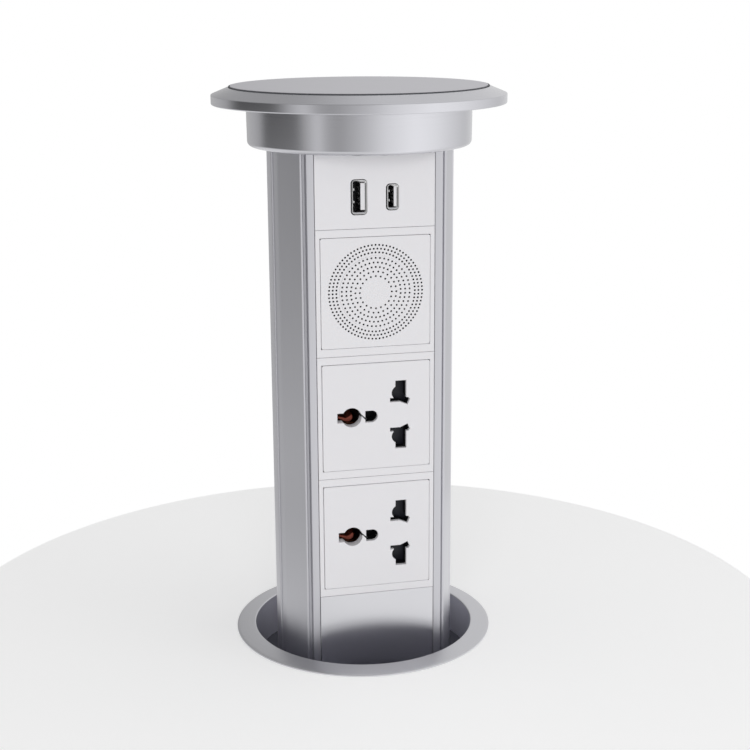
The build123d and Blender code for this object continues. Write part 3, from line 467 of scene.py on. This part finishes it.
def circuit_board():
    """Green solder mask over the weave of a circuit board."""
    material, tree, shader = new_material("green_solder_mask")
    uneven(tree, shader, grain(tree, (0.5, 0.5, 0.5), 2.0), "#1d5a35", 0.25, (0.25, 0.4), 0.004)
    return material


def speaker_paper():
    """Pressed black paper of the speaker's cone: matt and fibrous."""
    material, tree, shader = new_material("pressed_black_paper")
    uneven(tree, shader, grain(tree, (0.2, 0.8, 0.8), 5.0), "#1a1a1a", 0.4, (0.75, 0.9), 0.02)
    return material


extrusion = extruded_aluminium()
turned_metal = turned_aluminium()
blasted_metal = disc_aluminium()
ring_metal = ring_aluminium()
bright_plate = plate_aluminium()
tube_metal = tube_aluminium()
white = white_plastic()
black = black_plastic()
grey = grey_plastic()
rubber = black_rubber()
groove_shade_rubber = charcoal_groove_shade_rubber()
bore_painted_light = pale_bore_painted_light()
slate = slate_plastic()
cloth = speaker_cloth()
nickel = plated_shell()
bronze = copper_contact()
dull_copper = dull_copper_leaf()
zinc = zinc_steel()
ferrite = magnet_ferrite()
board = circuit_board()
paper = speaker_paper()

# Every CAD node that stays as it is takes the material of its slot.
BY_SLOT = {
    "silver_aluminium": extrusion,
    "lid_disc_aluminium": blasted_metal,
    "ring_aluminium": ring_metal,
    "tube_aluminium": tube_metal,
    "white_plastic": white,
    "black_plastic": black,
    "grey_plastic": grey,
    "black_rubber": rubber,
    "port_steel": nickel,
    "contact_brass": bronze,
    "steel": zinc,
    "magnet": ferrite,
    "board": board,
    "speaker_paper": paper,
}
for node, obj in NODES.items():
    obj.data.materials.clear()
    # The guide collar's grey is painted light for the bore, in place of its slot's black.
    obj.data.materials.append(slate if node == "guide_collar" else BY_SLOT[SLOT_OF[node]])
    obj.data.polygons.foreach_set("use_smooth", [True] * len(obj.data.polygons))
    obj.data.set_sharp_from_angle(angle=CAD_CREASE)


def corners_of(node):
    """Lowest and highest corner of a CAD node, in mm."""
    low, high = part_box(node)
    return low / MM, high / MM


def radii_at(node, z):
    """Distances from the vertical axis of a CAD node's corners at a height, the smallest first."""
    corners = [v.co / MM for v in NODES[node].data.vertices]
    return sorted(math.hypot(c.x, c.y) for c in corners if abs(c.z - z) < READ_ERROR)


def heights_at(node, radius):
    """Heights of a CAD node's corners at a distance from the vertical axis, the lowest first."""
    corners = [v.co / MM for v in NODES[node].data.vertices]
    return sorted(c.z for c in corners if abs(math.hypot(c.x, c.y) - radius) < READ_ERROR)


# Lid

NECK_TAPER = 0.2
NECK_EDGE = 1.9
NECK_JOIN = 0.25
WEB_THICKNESS = 3.0
SEAT_GAP = 0.03
RIM_UNDER_EDGE = 0.5
RIM_BEVEL_EDGE = 0.3
BEVEL_LIP = 0.25
SEAT_EDGE = 0.12  # on the disc, on its ring and on the recess that holds them


def build_lid():
    """The turned lid with its neck, the disc let into it and the black ring between them."""
    low, high = corners_of("lid_flange")
    disc_low, disc_high = corners_of("lid_disc")
    seal_low, seal_high = corners_of("disc_seal")
    drip_low, drip_high = corners_of("lid_seal")
    rim = high.x
    under = heights_at("lid_flange", rim)[0]
    bevel_start = heights_at("lid_flange", rim)[-1]
    neck = radii_at("lid_flange", under)[0]
    neck_inside = radii_at("lid_flange", disc_low.z)[0]
    wire_hole = radii_at("lid_flange", low.z)[0]
    web_top = low.z + WEB_THICKNESS
    recess = seal_high.x + SEAT_GAP
    groove_in = radii_at("lid_seal", drip_low.z)[0] - SEAT_GAP
    groove_out = drip_high.x + SEAT_GAP
    seal_in = disc_high.x + SEAT_GAP
    lathe("lid_rim_and_neck", rounded([
        (wire_hole, low.z), (neck - NECK_TAPER, low.z, NECK_EDGE), (neck, under, NECK_JOIN),
        (groove_in, under), (groove_in, drip_high.z), (groove_out, drip_high.z), (groove_out, under),
        (rim, under, RIM_UNDER_EDGE), (rim, bevel_start, RIM_BEVEL_EDGE),
        (recess, high.z + BEVEL_LIP, SEAT_EDGE), (recess, disc_low.z), (neck_inside, disc_low.z),
        (neck_inside, web_top), (wire_hole, web_top),
    ], 0), turned_metal, "tower", ("lid_flange",))
    lathe("touch_disc", rounded([
        (0, disc_low.z), (disc_high.x, disc_low.z), (disc_high.x, disc_high.z, SEAT_EDGE), (0, disc_high.z),
    ], 0), blasted_metal, "tower", ("lid_disc",))
    # The charcoal ring's darkness is partly painted shade for the groove between the disc and the rim.
    lathe("disc_ring", rounded([
        (seal_in, seal_low.z), (seal_high.x, seal_low.z), (seal_high.x, seal_high.z), (seal_in, seal_high.z),
    ], SEAT_EDGE), groove_shade_rubber, "tower", ("disc_seal",))


# Column

COLUMN_CORNER = 0.25
COLUMN_CORNER_STEPS = 3
COLUMN_END_EDGE = 0.1
BARE_PLATE_EDGE = 0.12


def build_column():
    """The extrusion and the bare plate below the modules."""
    low, high = corners_of("column")
    outline = rounded(face_loops("column", Z_AXIS, high.z)[0], COLUMN_CORNER, COLUMN_CORNER_STEPS)
    prism("column_extrusion", [outline], low.z, high.z, extrusion, "tower", ("column",), place=upright,
          edge=COLUMN_END_EDGE, steps=1)
    low, high = corners_of("blank_plate")
    face = face_loops("blank_plate", Y_AXIS, low.y)[0]
    prism("bare_front_plate", [face], -high.y, -low.y, bright_plate, "tower", ("blank_plate",),
          edge=BARE_PLATE_EDGE)


# Modules

TILE_EDGE = 0.22  # on the frames and the charging plate
FINE_EDGE = 0.05  # on small pieces


def build_frame(node):
    """A module's white frame."""
    low, high = corners_of(node)
    prism(node + "_moulding", face_loops(node, Y_AXIS, low.y), -high.y, -low.y, white, "tower", (node,),
          edge=TILE_EDGE)


# Outlets, with x from the middle of the plate and heights from the middle of the earth hole

PLATE_THICKNESS = 2.0
PLATE_EDGE = 0.2
COLLAR_OVERLAP = 0.1
COLLAR_EDGE = 0.1
EARTH_X = -10.4
# The edges of the copper leaf, seen from the front, both from the middle of the earth hole.
LEAF_TOP = [(-5.2, -0.25), (-2.9, -0.85), (-1.65, -1.2), (-0.35, -0.6), (0.45, 0.0), (1.0, 0.1)]
LEAF_FOOT = [(-5.2, -1.3), (-3.65, -1.9), (-2.3, -2.65), (-0.7, -2.95), (0.6, -2.45), (1.25, -1.5),
             (1.3, -0.5)]
LEAF_EDGE = 0.35
LEAF_FROM_CLIP = 0.6  # from the clip's far face
LEAF_FROM_COLLAR = 0.2
# The slit beside the earth hole leans less in the photo than in its CAD node. These are the corners of the
# CAD plate that move, each with the points that take its place.
SLIT_MENDS = (
    ((-6.97, 2.72), [(-7.0, 2.21), (-6.82, 1.9), (-6.67, 1.58), (-6.57, 1.32)]),
    ((-6.43, 0.78), [(-6.37, 0.6)]),
    ((-4.83, -1.42), [(-4.72, -1.2)]),
)
SLIT_MATCH = 0.05
# Where the black bar of painted shade lies in the slit beside the earth hole
SLIT_X = -5.6
SLIT_LENGTH = 3.4
SLIT_WIDTH = 1.0
SLIT_DROP = 0.12
SLIT_LEAN = math.radians(-43)


def smooth_line(points, steps=6):
    """A curve that runs smoothly through points."""
    ends = [points[0]] + points + [points[-1]]
    line = []
    for a, b, c, d in zip(ends, ends[1:], ends[2:], ends[3:]):
        a, b, c, d = (Vector(p) for p in (a, b, c, d))
        for k in range(steps):
            t = k / steps
            bend = (2 * a - 5 * b + 4 * c - d) * t ** 2 + (3 * b - a - 3 * c + d) * t ** 3
            line.append((b * 2 + (c - a) * t + bend) / 2)
    line.append(Vector(points[-1]))
    return line


def bar(middle, lean, length, width):
    """The outline of a straight bar that leans by an angle."""
    along = Vector((math.cos(lean), math.sin(lean)))
    across = Vector((-along.y, along.x))
    ends = [(-1, 1), (1, 1), (1, -1), (-1, -1)]
    return [tuple(middle + along * length / 2 * a + across * width / 2 * b) for a, b in ends]


def with_slit(loop, level):
    """The outline with its slit leaned as in the photo."""
    result = []
    for i, here in enumerate(loop):
        takes = [mend for (x, z), mend in SLIT_MENDS if math.dist(here, (x, z + level)) < SLIT_MATCH]
        if not takes:
            result.append(here)
            continue
        before = loop[i - 1]
        mend = [(x, z + level) for x, z in takes[0]]
        result += mend if math.dist(before, mend[0]) < math.dist(before, mend[-1]) else mend[::-1]
    return result


def build_outlet(place):
    """An outlet's white plate with its apertures, the earth collar and the copper leaf seen in it."""
    node = "socket_plate_" + place
    low, high = corners_of(node)
    plate_back = -low.y - PLATE_THICKNESS
    clip_low, clip_high = corners_of("contacts_" + place)
    earth_z = (clip_low.z + clip_high.z) / 2
    loops = [with_slit(loop, earth_z) for loop in face_loops(node, Y_AXIS, low.y)]
    prism(node + "_moulding", loops, plate_back, -low.y, white, "tower", (node,), edge=PLATE_EDGE)
    collar = face_loops(node, Y_AXIS, high.y)
    prism(node + "_collar", collar, -high.y, plate_back + COLLAR_OVERLAP, white, "tower", edge=COLLAR_EDGE)
    top, foot = (smooth_line([(EARTH_X + x, earth_z + z) for x, z in edge])
                 for edge in (LEAF_TOP, LEAF_FOOT))
    leaf = [tuple(point) for point in top + foot[::-1]]
    prism("earth_leaf_" + place, [leaf], LEAF_FROM_CLIP - clip_high.y, -high.y - LEAF_FROM_COLLAR, dull_copper,
          "tower", edge=LEAF_EDGE)
    # A black bar behind the slit beside the earth hole is painted shade: it makes the slit dark inside.
    slit = bar(Vector((SLIT_X, earth_z)), SLIT_LEAN, SLIT_LENGTH, SLIT_WIDTH)
    prism("earth_slit_shade_" + place, [slit], plate_back, -low.y - SLIT_DROP, black, "tower", edge=FINE_EDGE)


# Speaker

# Rings of holes: radius, number of holes and the angle of the first one in degrees.
OUTER_RINGS = ((16.2, 68, 180), (17.7, 74, 180), (19.2, 80, 180))
INNER_RINGS = ((14.0, 50, 90), (12.15, 44, 94.1), (10.3, 38, 90), (8.45, 26, 180), (6.6, 20, 90))
DOT_RADIUS = 0.41
DOT_SIDES = 12
GRILLE_CORNER = 0.8
RELIEF_RADIUS = 14.9
RELIEF_SIDES = 180
RELIEF_STEP = 0.2
CLOTH_MARGIN = 1.0
CLOTH_SIDES = 96
CLOTH_DEPTH = 0.5
CLOTH_THICKNESS = 0.3


def holes_in_rings(rings, centre):
    """Round outlines on rings about a centre on the vertical axis."""
    return [circle(x, z, DOT_RADIUS, DOT_SIDES) for radius, count, start in rings
            for x, z in circle(0, centre, radius, count, math.radians(start))]


def build_grille():
    """The speaker's plate: fine round holes in rings, the inner ones on a raised disc, with cloth behind."""
    low, high = corners_of("speaker_grille")
    centre = (low.z + high.z) / 2
    rim = rounded(box(low.x, high.x, low.z, high.z), GRILLE_CORNER)
    hub = circle(0, centre, RELIEF_RADIUS, RELIEF_SIDES)
    outer = holes_in_rings(OUTER_RINGS, centre)
    inner = holes_in_rings(INNER_RINGS, centre)
    step = -low.y - RELIEF_STEP
    weave = circle(0, centre, OUTER_RINGS[-1][0] + CLOTH_MARGIN, CLOTH_SIDES)
    prism("speaker_cloth", [weave], step - CLOTH_DEPTH - CLOTH_THICKNESS, step - CLOTH_DEPTH, cloth, "tower",
          edge=FINE_EDGE, steps=1)
    prism("speaker_plate", [rim, hub] + outer, -high.y, step, white, "tower", ("speaker_grille",),
          edge=FINE_EDGE, steps=1)
    prism("speaker_plate_centre", [hub] + inner, -high.y, -low.y, white, "tower", edge=FINE_EDGE, steps=1)


# Charging ports. In the photo they look smaller than their CAD nodes and lie a little higher or lower.

PORT_SHRINK = 0.62
PORT_RISE = {"usb_a": 0.23, "usb_c": -0.12}
HOLE_BEYOND_SHELL = 0.3
SHELL_SHIFT = 0.2
SHELL_WALL = 0.72
SHELL_EDGE = 0.1
SHELL_FLARE = 0.52
# A black sheet in the gap round the shell, painted shade for the shadow in the gap
GAP_OVERLAP = 0.05
GAP_BEHIND_SHELL = 0.3
GAP_DEPTH = 0.6
# The black floor of the port, painted shade for the deep shadow inside it
FLOOR_OVERLAP = 0.1
FLOOR_THICKNESS = 1.6
# The white tongue with a black strip on its contact side, painted shade for the deep shadow in the port
TONGUE_SHIFT = 0.42
TONGUE_RISE = 0.15
TONGUE_SCALE = (0.92, 0.9)
TONGUE_EDGE = 0.15
SIDE_END = 0.1
SIDE_THICKNESS = 0.15
SIDE_OVERLAP = 0.02
SIDE_SETBACK = 0.15
# The blades on that side, at shares of its height. The spans lie beside the tongue and behind its front.
BLADE_PLACES = (0.2, 0.4, 0.6, 0.8)
BLADE_HEIGHT = 0.9
BLADE_FROM_TONGUE = (0.1, 0.22)
BLADE_DEPTHS = (2.0, 6.0)
BLADE_EDGE = 0.02
# The springs of the shell, at shares of the same height
SPRING_PLACES = (0.3, 0.77)
SPRING_FOOT = 1.4
SPRING_TIP = 0.8
SPRING_REACH = 0.5
SPRING_OVERLAP = 0.1
SPRING_SETBACK = 0.7
SPRING_FROM_BACK = 1.0
SPRING_EDGE = 0.1
HAIR_EDGE = 0.03
CHARGING_PLATE_BACK = 6.7  # how far its back lies in front of the CAD node's


def build_shell(port):
    """A port's plated sheet, with black pieces of painted shade in the gap round it and on its floor. Gives
    the hole and the inside.
    """
    low, high = corners_of(port + "_shell")
    outer = face_loops(port + "_shell", Y_AXIS, low.y)[0]
    hole = moved(grown(outer, HOLE_BEYOND_SHELL - PORT_SHRINK), 0.0, PORT_RISE[port])
    rim = moved(grown(outer, -PORT_SHRINK), SHELL_SHIFT, PORT_RISE[port])
    inside = grown(rim, -SHELL_WALL)
    prism(port + "_sheet", [rim, inside], -high.y, -low.y, nickel, "tower", (port + "_shell",),
          edge=(SHELL_EDGE, SHELL_FLARE), steps=1)
    gap = [grown(hole, GAP_OVERLAP), grown(rim, -GAP_BEHIND_SHELL)]
    prism(port + "_gap_shade", gap, -high.y, -low.y - GAP_DEPTH, black, "tower", edge=HAIR_EDGE)
    floor = [grown(inside, FLOOR_OVERLAP)]
    prism(port + "_cavity_shade", floor, -high.y, FLOOR_THICKNESS - high.y, black, "tower", edge=FINE_EDGE)
    return hole, inside


def build_tongue(port, inside):
    """A port's white tongue with its contact side, the blades on it and the shell's springs."""
    low, high = corners_of(port + "_tongue")
    face = face_loops(port + "_tongue", Y_AXIS, low.y)[0]
    middle_x = sum(x for x, z in face) / len(face)
    middle_z = sum(z for x, z in face) / len(face)
    face = [(middle_x + TONGUE_SHIFT + (x - middle_x) * TONGUE_SCALE[0],
             middle_z + PORT_RISE[port] + TONGUE_RISE + (z - middle_z) * TONGUE_SCALE[1]) for x, z in face]
    prism(port + "_insert", [face], -high.y, -low.y, white, "tower", (port + "_tongue",), edge=TONGUE_EDGE)
    left = min(x for x, z in face)
    foot = min(z for x, z in face) + SIDE_END
    top = max(z for x, z in face) - SIDE_END
    # A black strip of painted shade on the tongue's contact side
    prism(port + "_contact_side_shade", [box(left - SIDE_THICKNESS, left + SIDE_OVERLAP, foot, top)], -high.y,
          -low.y - SIDE_SETBACK, black, "tower", edge=HAIR_EDGE)
    for k, share in enumerate(BLADE_PLACES):
        z = foot + (top - foot) * share
        blade = box(left - BLADE_FROM_TONGUE[1], left - BLADE_FROM_TONGUE[0], z - BLADE_HEIGHT / 2,
                    z + BLADE_HEIGHT / 2)
        prism(f"{port}_blade_{k}", [blade], -low.y - BLADE_DEPTHS[1], -low.y - BLADE_DEPTHS[0], nickel,
              "tower", edge=BLADE_EDGE)
    wall = min(x for x, z in inside)
    for k, share in enumerate(SPRING_PLACES):
        z = foot + (top - foot) * share
        spring = [(wall - SPRING_OVERLAP, z - SPRING_FOOT / 2), (wall + SPRING_REACH, z - SPRING_TIP / 2),
                  (wall + SPRING_REACH, z + SPRING_TIP / 2), (wall - SPRING_OVERLAP, z + SPRING_FOOT / 2)]
        prism(f"{port}_spring_{k}", [spring], SPRING_FROM_BACK - high.y, -low.y - SPRING_SETBACK, nickel,
              "tower", edge=SPRING_EDGE)


def build_ports():
    """The charging plate with its two ports."""
    low, high = corners_of("usb_tile")
    loops = face_loops("usb_tile", Y_AXIS, low.y)[:1]
    for port in PORT_RISE:
        hole, inside = build_shell(port)
        build_tongue(port, inside)
        loops.append(hole)
    prism("charging_plate", loops, CHARGING_PLATE_BACK - high.y, -low.y, white, "tower", ("usb_tile",),
          edge=TILE_EDGE)


# Desk fitting

RING_UNDER_EDGE = 0.1
RING_OUTER_EDGE = 0.2
RING_EDGE_HEIGHT = 0.65
RING_BEVEL = 1.1
RING_BEVEL_HEIGHT = 0.45
RING_TOP_EDGE = 0.5
SLEEVE_EDGE = 0.3
SLEEVE_PLAIN_FROM = 23.0  # above the sleeve's end
THREAD_TURNS = 14
THREAD_START = 1.2
THREAD_PITCH = 1.5
THREAD_DEPTH = 0.6
THREAD_CREST = (0.5, 0.75)  # where the crest begins and ends in a turn
THREAD_ROOT = 1.25  # where the crest's far side ends
# The skin that gives the bore a duller finish and a pale colour of painted light
LINING = 0.02
LINING_FOOT = 1.0
LINING_TOP = 0.5
LINING_TAPER = 0.2


def build_ring():
    """The desk ring with the threaded sleeve through the desk."""
    low, high = corners_of("trim_ring")
    gasket_high = corners_of("flange_gasket")[1]
    bore = radii_at("trim_ring", low.z)[0]
    sleeve = radii_at("trim_ring", low.z)[-1]
    seat = gasket_high.x + SEAT_GAP
    root = sleeve - THREAD_DEPTH
    thread = []
    for turn in range(THREAD_TURNS):
        z = low.z + THREAD_START + turn * THREAD_PITCH
        thread += [(root, z, 0), (sleeve, z + THREAD_CREST[0], 0), (sleeve, z + THREAD_CREST[1], 0),
                   (root, z + THREAD_ROOT, 0)]
    lathe("desk_ring_and_sleeve", rounded([(bore, low.z), (root, low.z)] + thread + [
        (sleeve, low.z + SLEEVE_PLAIN_FROM, 0), (sleeve, gasket_high.z, 0), (seat, gasket_high.z, 0),
        (seat, 0, 0), (high.x, 0, RING_UNDER_EDGE), (high.x, RING_EDGE_HEIGHT, RING_OUTER_EDGE),
        (high.x - RING_BEVEL, RING_EDGE_HEIGHT + RING_BEVEL_HEIGHT, RING_TOP_EDGE),
        (bore, high.z, RING_TOP_EDGE),
    ], SLEEVE_EDGE), ring_metal, "housing", ("trim_ring",))
    # The bore's lining is painted light: a paler copy of the ring's metal.
    lathe("sleeve_lining", [
        (bore - LINING, low.z + LINING_FOOT), (bore, low.z + LINING_FOOT), (bore, high.z - LINING_TOP),
        (bore - LINING, high.z - LINING_TOP - LINING_TAPER),
    ], bore_painted_light, "housing")


build_lid()
build_column()
for frame_node in ("socket_frame_upper", "socket_frame_lower", "speaker_frame"):
    build_frame(frame_node)
build_outlet("upper")
build_outlet("lower")
build_grille()
build_ports()
build_ring()

# The edges of what can be seen under the desk are eased a little.
EASED = ("desk_washer", "clamp_nut", "housing_tube", "end_cap", "cable_gland", "gland_nut", "tube_screws",
         "hall_sensors", "guide_collar", "flange_gasket")
EASED_WIDTH = 0.2
EASED_ANGLE = math.radians(40)
for node in EASED:
    easing = NODES[node].modifiers.new("eased_edges", "BEVEL")
    easing.width = EASED_WIDTH * MM
    easing.segments = 2
    easing.limit_method = "ANGLE"
    easing.angle_limit = EASED_ANGLE
    easing.harden_normals = True


# Stage

WHITE_LIGHT = (1.0, 1.0, 1.0, 1.0)
DESK_HOLE_RADIUS = 50.3
DESK_RADIUS = 190.0
DESK_THICKNESS = 25.0
DESK_EDGE = 0.4
DESK_GLOW = 0.2  # added for the camera
DESK_SHADE_FROM = -0.08  # in metres: left of it metal sees the desk at its darkest
DESK_SHADE = 0.7


def build_desk():
    """A pale round piece of desk top with the ring's hole. In reflections it is a painted glow, a little
    darker at its left.
    """
    plain, tree, shader = new_material("pale_desk_top")
    uneven(tree, shader, grain(tree, (3.0, 3.0, 3.0)), "#f8f8f8", 0.01, (0.6, 0.7), 0.001)
    axes = add(tree, "SeparateXYZ", [add(tree, "TexCoord").outputs["Object"]])
    shade = add(tree, "MapRange", Value=axes.outputs["X"], From_Min=DESK_SHADE_FROM, From_Max=0.0,
                To_Min=DESK_SHADE, To_Max=1.0)
    # What metal reflects of the desk is a painted glow, darker at its left.
    seen = add(tree, "Emission", Color=shade.outputs["Result"], Strength=1.0)
    rays = add(tree, "LightPath")
    mixed = add(tree, "MixShader", [rays.outputs["Is Glossy Ray"], shader.outputs[0], seen.outputs[0]])
    glow = add(tree, "Emission", Color=WHITE_LIGHT, Strength=DESK_GLOW)
    bright = add(tree, "AddShader", [mixed.outputs[0], glow.outputs[0]])
    shown = add(tree, "MixShader", [rays.outputs["Is Camera Ray"], mixed.outputs[0], bright.outputs[0]])
    tree.links.new(shown.outputs[0], tree.nodes["Material Output"].inputs["Surface"])
    outline = box(DESK_HOLE_RADIUS, DESK_RADIUS, -DESK_THICKNESS, 0.0)
    desk = lathe("desk_top", rounded(outline, DESK_EDGE), plain, None)


# How bright the studio is for reflections, by the angle from straight ahead to the right in degrees.
STUDIO_WALL = (
    (-180, 0.4), (-150, 0.41), (-133, 0.36), (-123, 0.14), (-114, 0.0), (-84, 0.0), (-77, 0.1), (-70, 0.32),
    (-62, 0.47), (-54, 0.64), (-45, 0.38), (-33, 0.3), (-22, 0.4), (-5, 0.55), (12, 0.74), (30, 0.84),
    (45, 0.92), (68, 0.85), (90, 0.72), (122, 0.54), (150, 0.6), (166, 0.55), (180, 0.4),
)
# The floor of the studio grows bright between two slopes, and its ceiling from the left to the right.
FLOOR_SLOPES = (-0.08, -0.42)
FLOOR_LIGHT = (0.03, 0.66)
CEILING_SLOPE = 0.1  # above it the ceiling hides the wall
CEILING_SIDES = (-0.04, 0.2)
CEILING_LIGHT = (0.3, 0.57)
REFLECTED = 1.4
AMBIENT = 0.6
BACKDROP = 1.0


def build_world():
    """White for the camera. For reflections a studio: a dark card left, grey behind, bright at the right."""
    world = bpy.data.worlds.new("studio")
    bpy.context.scene.world = world
    world.use_nodes = True
    tree = world.node_tree
    tree.nodes.clear()
    axes = add(tree, "SeparateXYZ", [add(tree, "TexCoord").outputs["Generated"]])
    front = add(tree, "Math", [axes.outputs["Y"], -1.0], operation="MULTIPLY")
    turn = add(tree, "Math", [axes.outputs["X"], front.outputs[0]], operation="ARCTAN2")
    share = add(tree, "MapRange", Value=turn.outputs[0], From_Min=-math.pi, From_Max=math.pi)
    ramp = add(tree, "ValToRGB", [share.outputs["Result"]])
    stops = ramp.color_ramp.elements
    places = [(degrees + 180) / 360 for degrees, light in STUDIO_WALL]
    stops[0].position, stops[1].position = places[0], places[-1]
    for place in places[1:-1]:
        stops.new(place)
    for stop, (degrees, light) in zip(stops, STUDIO_WALL):
        stop.color = (light,) * 3 + (1.0,)
    floor = add(tree, "MapRange", Value=axes.outputs["Z"], From_Min=FLOOR_SLOPES[0],
                From_Max=FLOOR_SLOPES[1], To_Min=FLOOR_LIGHT[0], To_Max=FLOOR_LIGHT[1])
    wall = add(tree, "Mix", data_type="RGBA", blend_type="LIGHTEN")
    wall.inputs["Factor"].default_value = 1.0
    tree.links.new(ramp.outputs["Color"], wall.inputs[6])
    tree.links.new(floor.outputs["Result"], wall.inputs[7])
    up = add(tree, "MapRange", Value=axes.outputs["Z"], From_Min=0.0, From_Max=CEILING_SLOPE)
    ceiling = add(tree, "MapRange", Value=axes.outputs["X"], From_Min=CEILING_SIDES[0],
                  From_Max=CEILING_SIDES[1], To_Min=CEILING_LIGHT[0], To_Max=CEILING_LIGHT[1])
    sky = add(tree, "Mix", data_type="RGBA")
    tree.links.new(up.outputs["Result"], sky.inputs["Factor"])
    tree.links.new(wall.outputs[2], sky.inputs[6])
    tree.links.new(ceiling.outputs["Result"], sky.inputs[7])
    rays = add(tree, "LightPath")
    glossy = add(tree, "Background", Color=sky.outputs[2], Strength=REFLECTED)
    ambient = add(tree, "Background", Color=WHITE_LIGHT, Strength=AMBIENT)
    backdrop = add(tree, "Background", Color=WHITE_LIGHT, Strength=BACKDROP)
    first = add(tree, "MixShader", [rays.outputs["Is Glossy Ray"], ambient.outputs[0], glossy.outputs[0]])
    second = add(tree, "MixShader", [rays.outputs["Is Camera Ray"], first.outputs[0], backdrop.outputs[0]])
    add(tree, "OutputWorld", Surface=second.outputs[0])


# The name of each light, its place, aim and width in metres and its power in watts.
LIGHTS = (
    ("key", (-0.35, -1.4, 0.45), (0, 0, 0.12), 0.8, 7.1),
    ("right_fill", (1.1, -0.6, 0.4), (0, 0, 0.1), 0.9, 2.0),
)


def area_light(name, place, aim, width, power):
    """A soft square light that reflections don't show, because the world does the sheen."""
    lamp = bpy.data.lights.new(name, "AREA")
    lamp.energy = power
    lamp.size = width
    obj = bpy.data.objects.new(name, lamp)
    obj.location = place
    obj.rotation_euler = (Vector(aim) - Vector(place)).to_track_quat("-Z", "Y").to_euler()
    obj.visible_glossy = False
    bpy.context.scene.collection.objects.link(obj)


# The camera, solved from the photo. Its focal length is in pixels of the photo, its clip range in metres.
CAMERA_PLACE = (-130.7, -598.4, 276.0)
CAMERA_YAW, CAMERA_PITCH, CAMERA_ROLL = (math.radians(angle) for angle in (12.87, 14.86, -0.304))
FOCAL_PIXELS = 1482.2
PHOTO_PIXELS = 750
SENSOR_WIDTH = 36.0
CLIP_RANGE = (0.01, 20.0)


def build_camera():
    """The photo's camera."""
    reach = math.cos(CAMERA_PITCH)
    forward = Vector((math.sin(CAMERA_YAW) * reach, math.cos(CAMERA_YAW) * reach, -math.sin(CAMERA_PITCH)))
    level = Vector((math.cos(CAMERA_YAW), -math.sin(CAMERA_YAW), 0.0))
    right = level * math.cos(CAMERA_ROLL) + level.cross(forward) * math.sin(CAMERA_ROLL)
    up = right.cross(forward)
    lens = bpy.data.cameras.new("camera")
    lens.sensor_width = SENSOR_WIDTH
    lens.lens = SENSOR_WIDTH * FOCAL_PIXELS / PHOTO_PIXELS
    lens.clip_start, lens.clip_end = CLIP_RANGE
    obj = bpy.data.objects.new("camera", lens)
    turn = Matrix((right, up, -forward)).transposed()
    obj.matrix_world = Matrix.Translation(Vector(CAMERA_PLACE) * MM) @ turn.to_4x4()
    bpy.context.scene.collection.objects.link(obj)
    bpy.context.scene.camera = obj


build_desk()
build_world()
for light in LIGHTS:
    area_light(*light)
build_camera()
bpy.context.scene.view_settings.view_transform = "Standard"
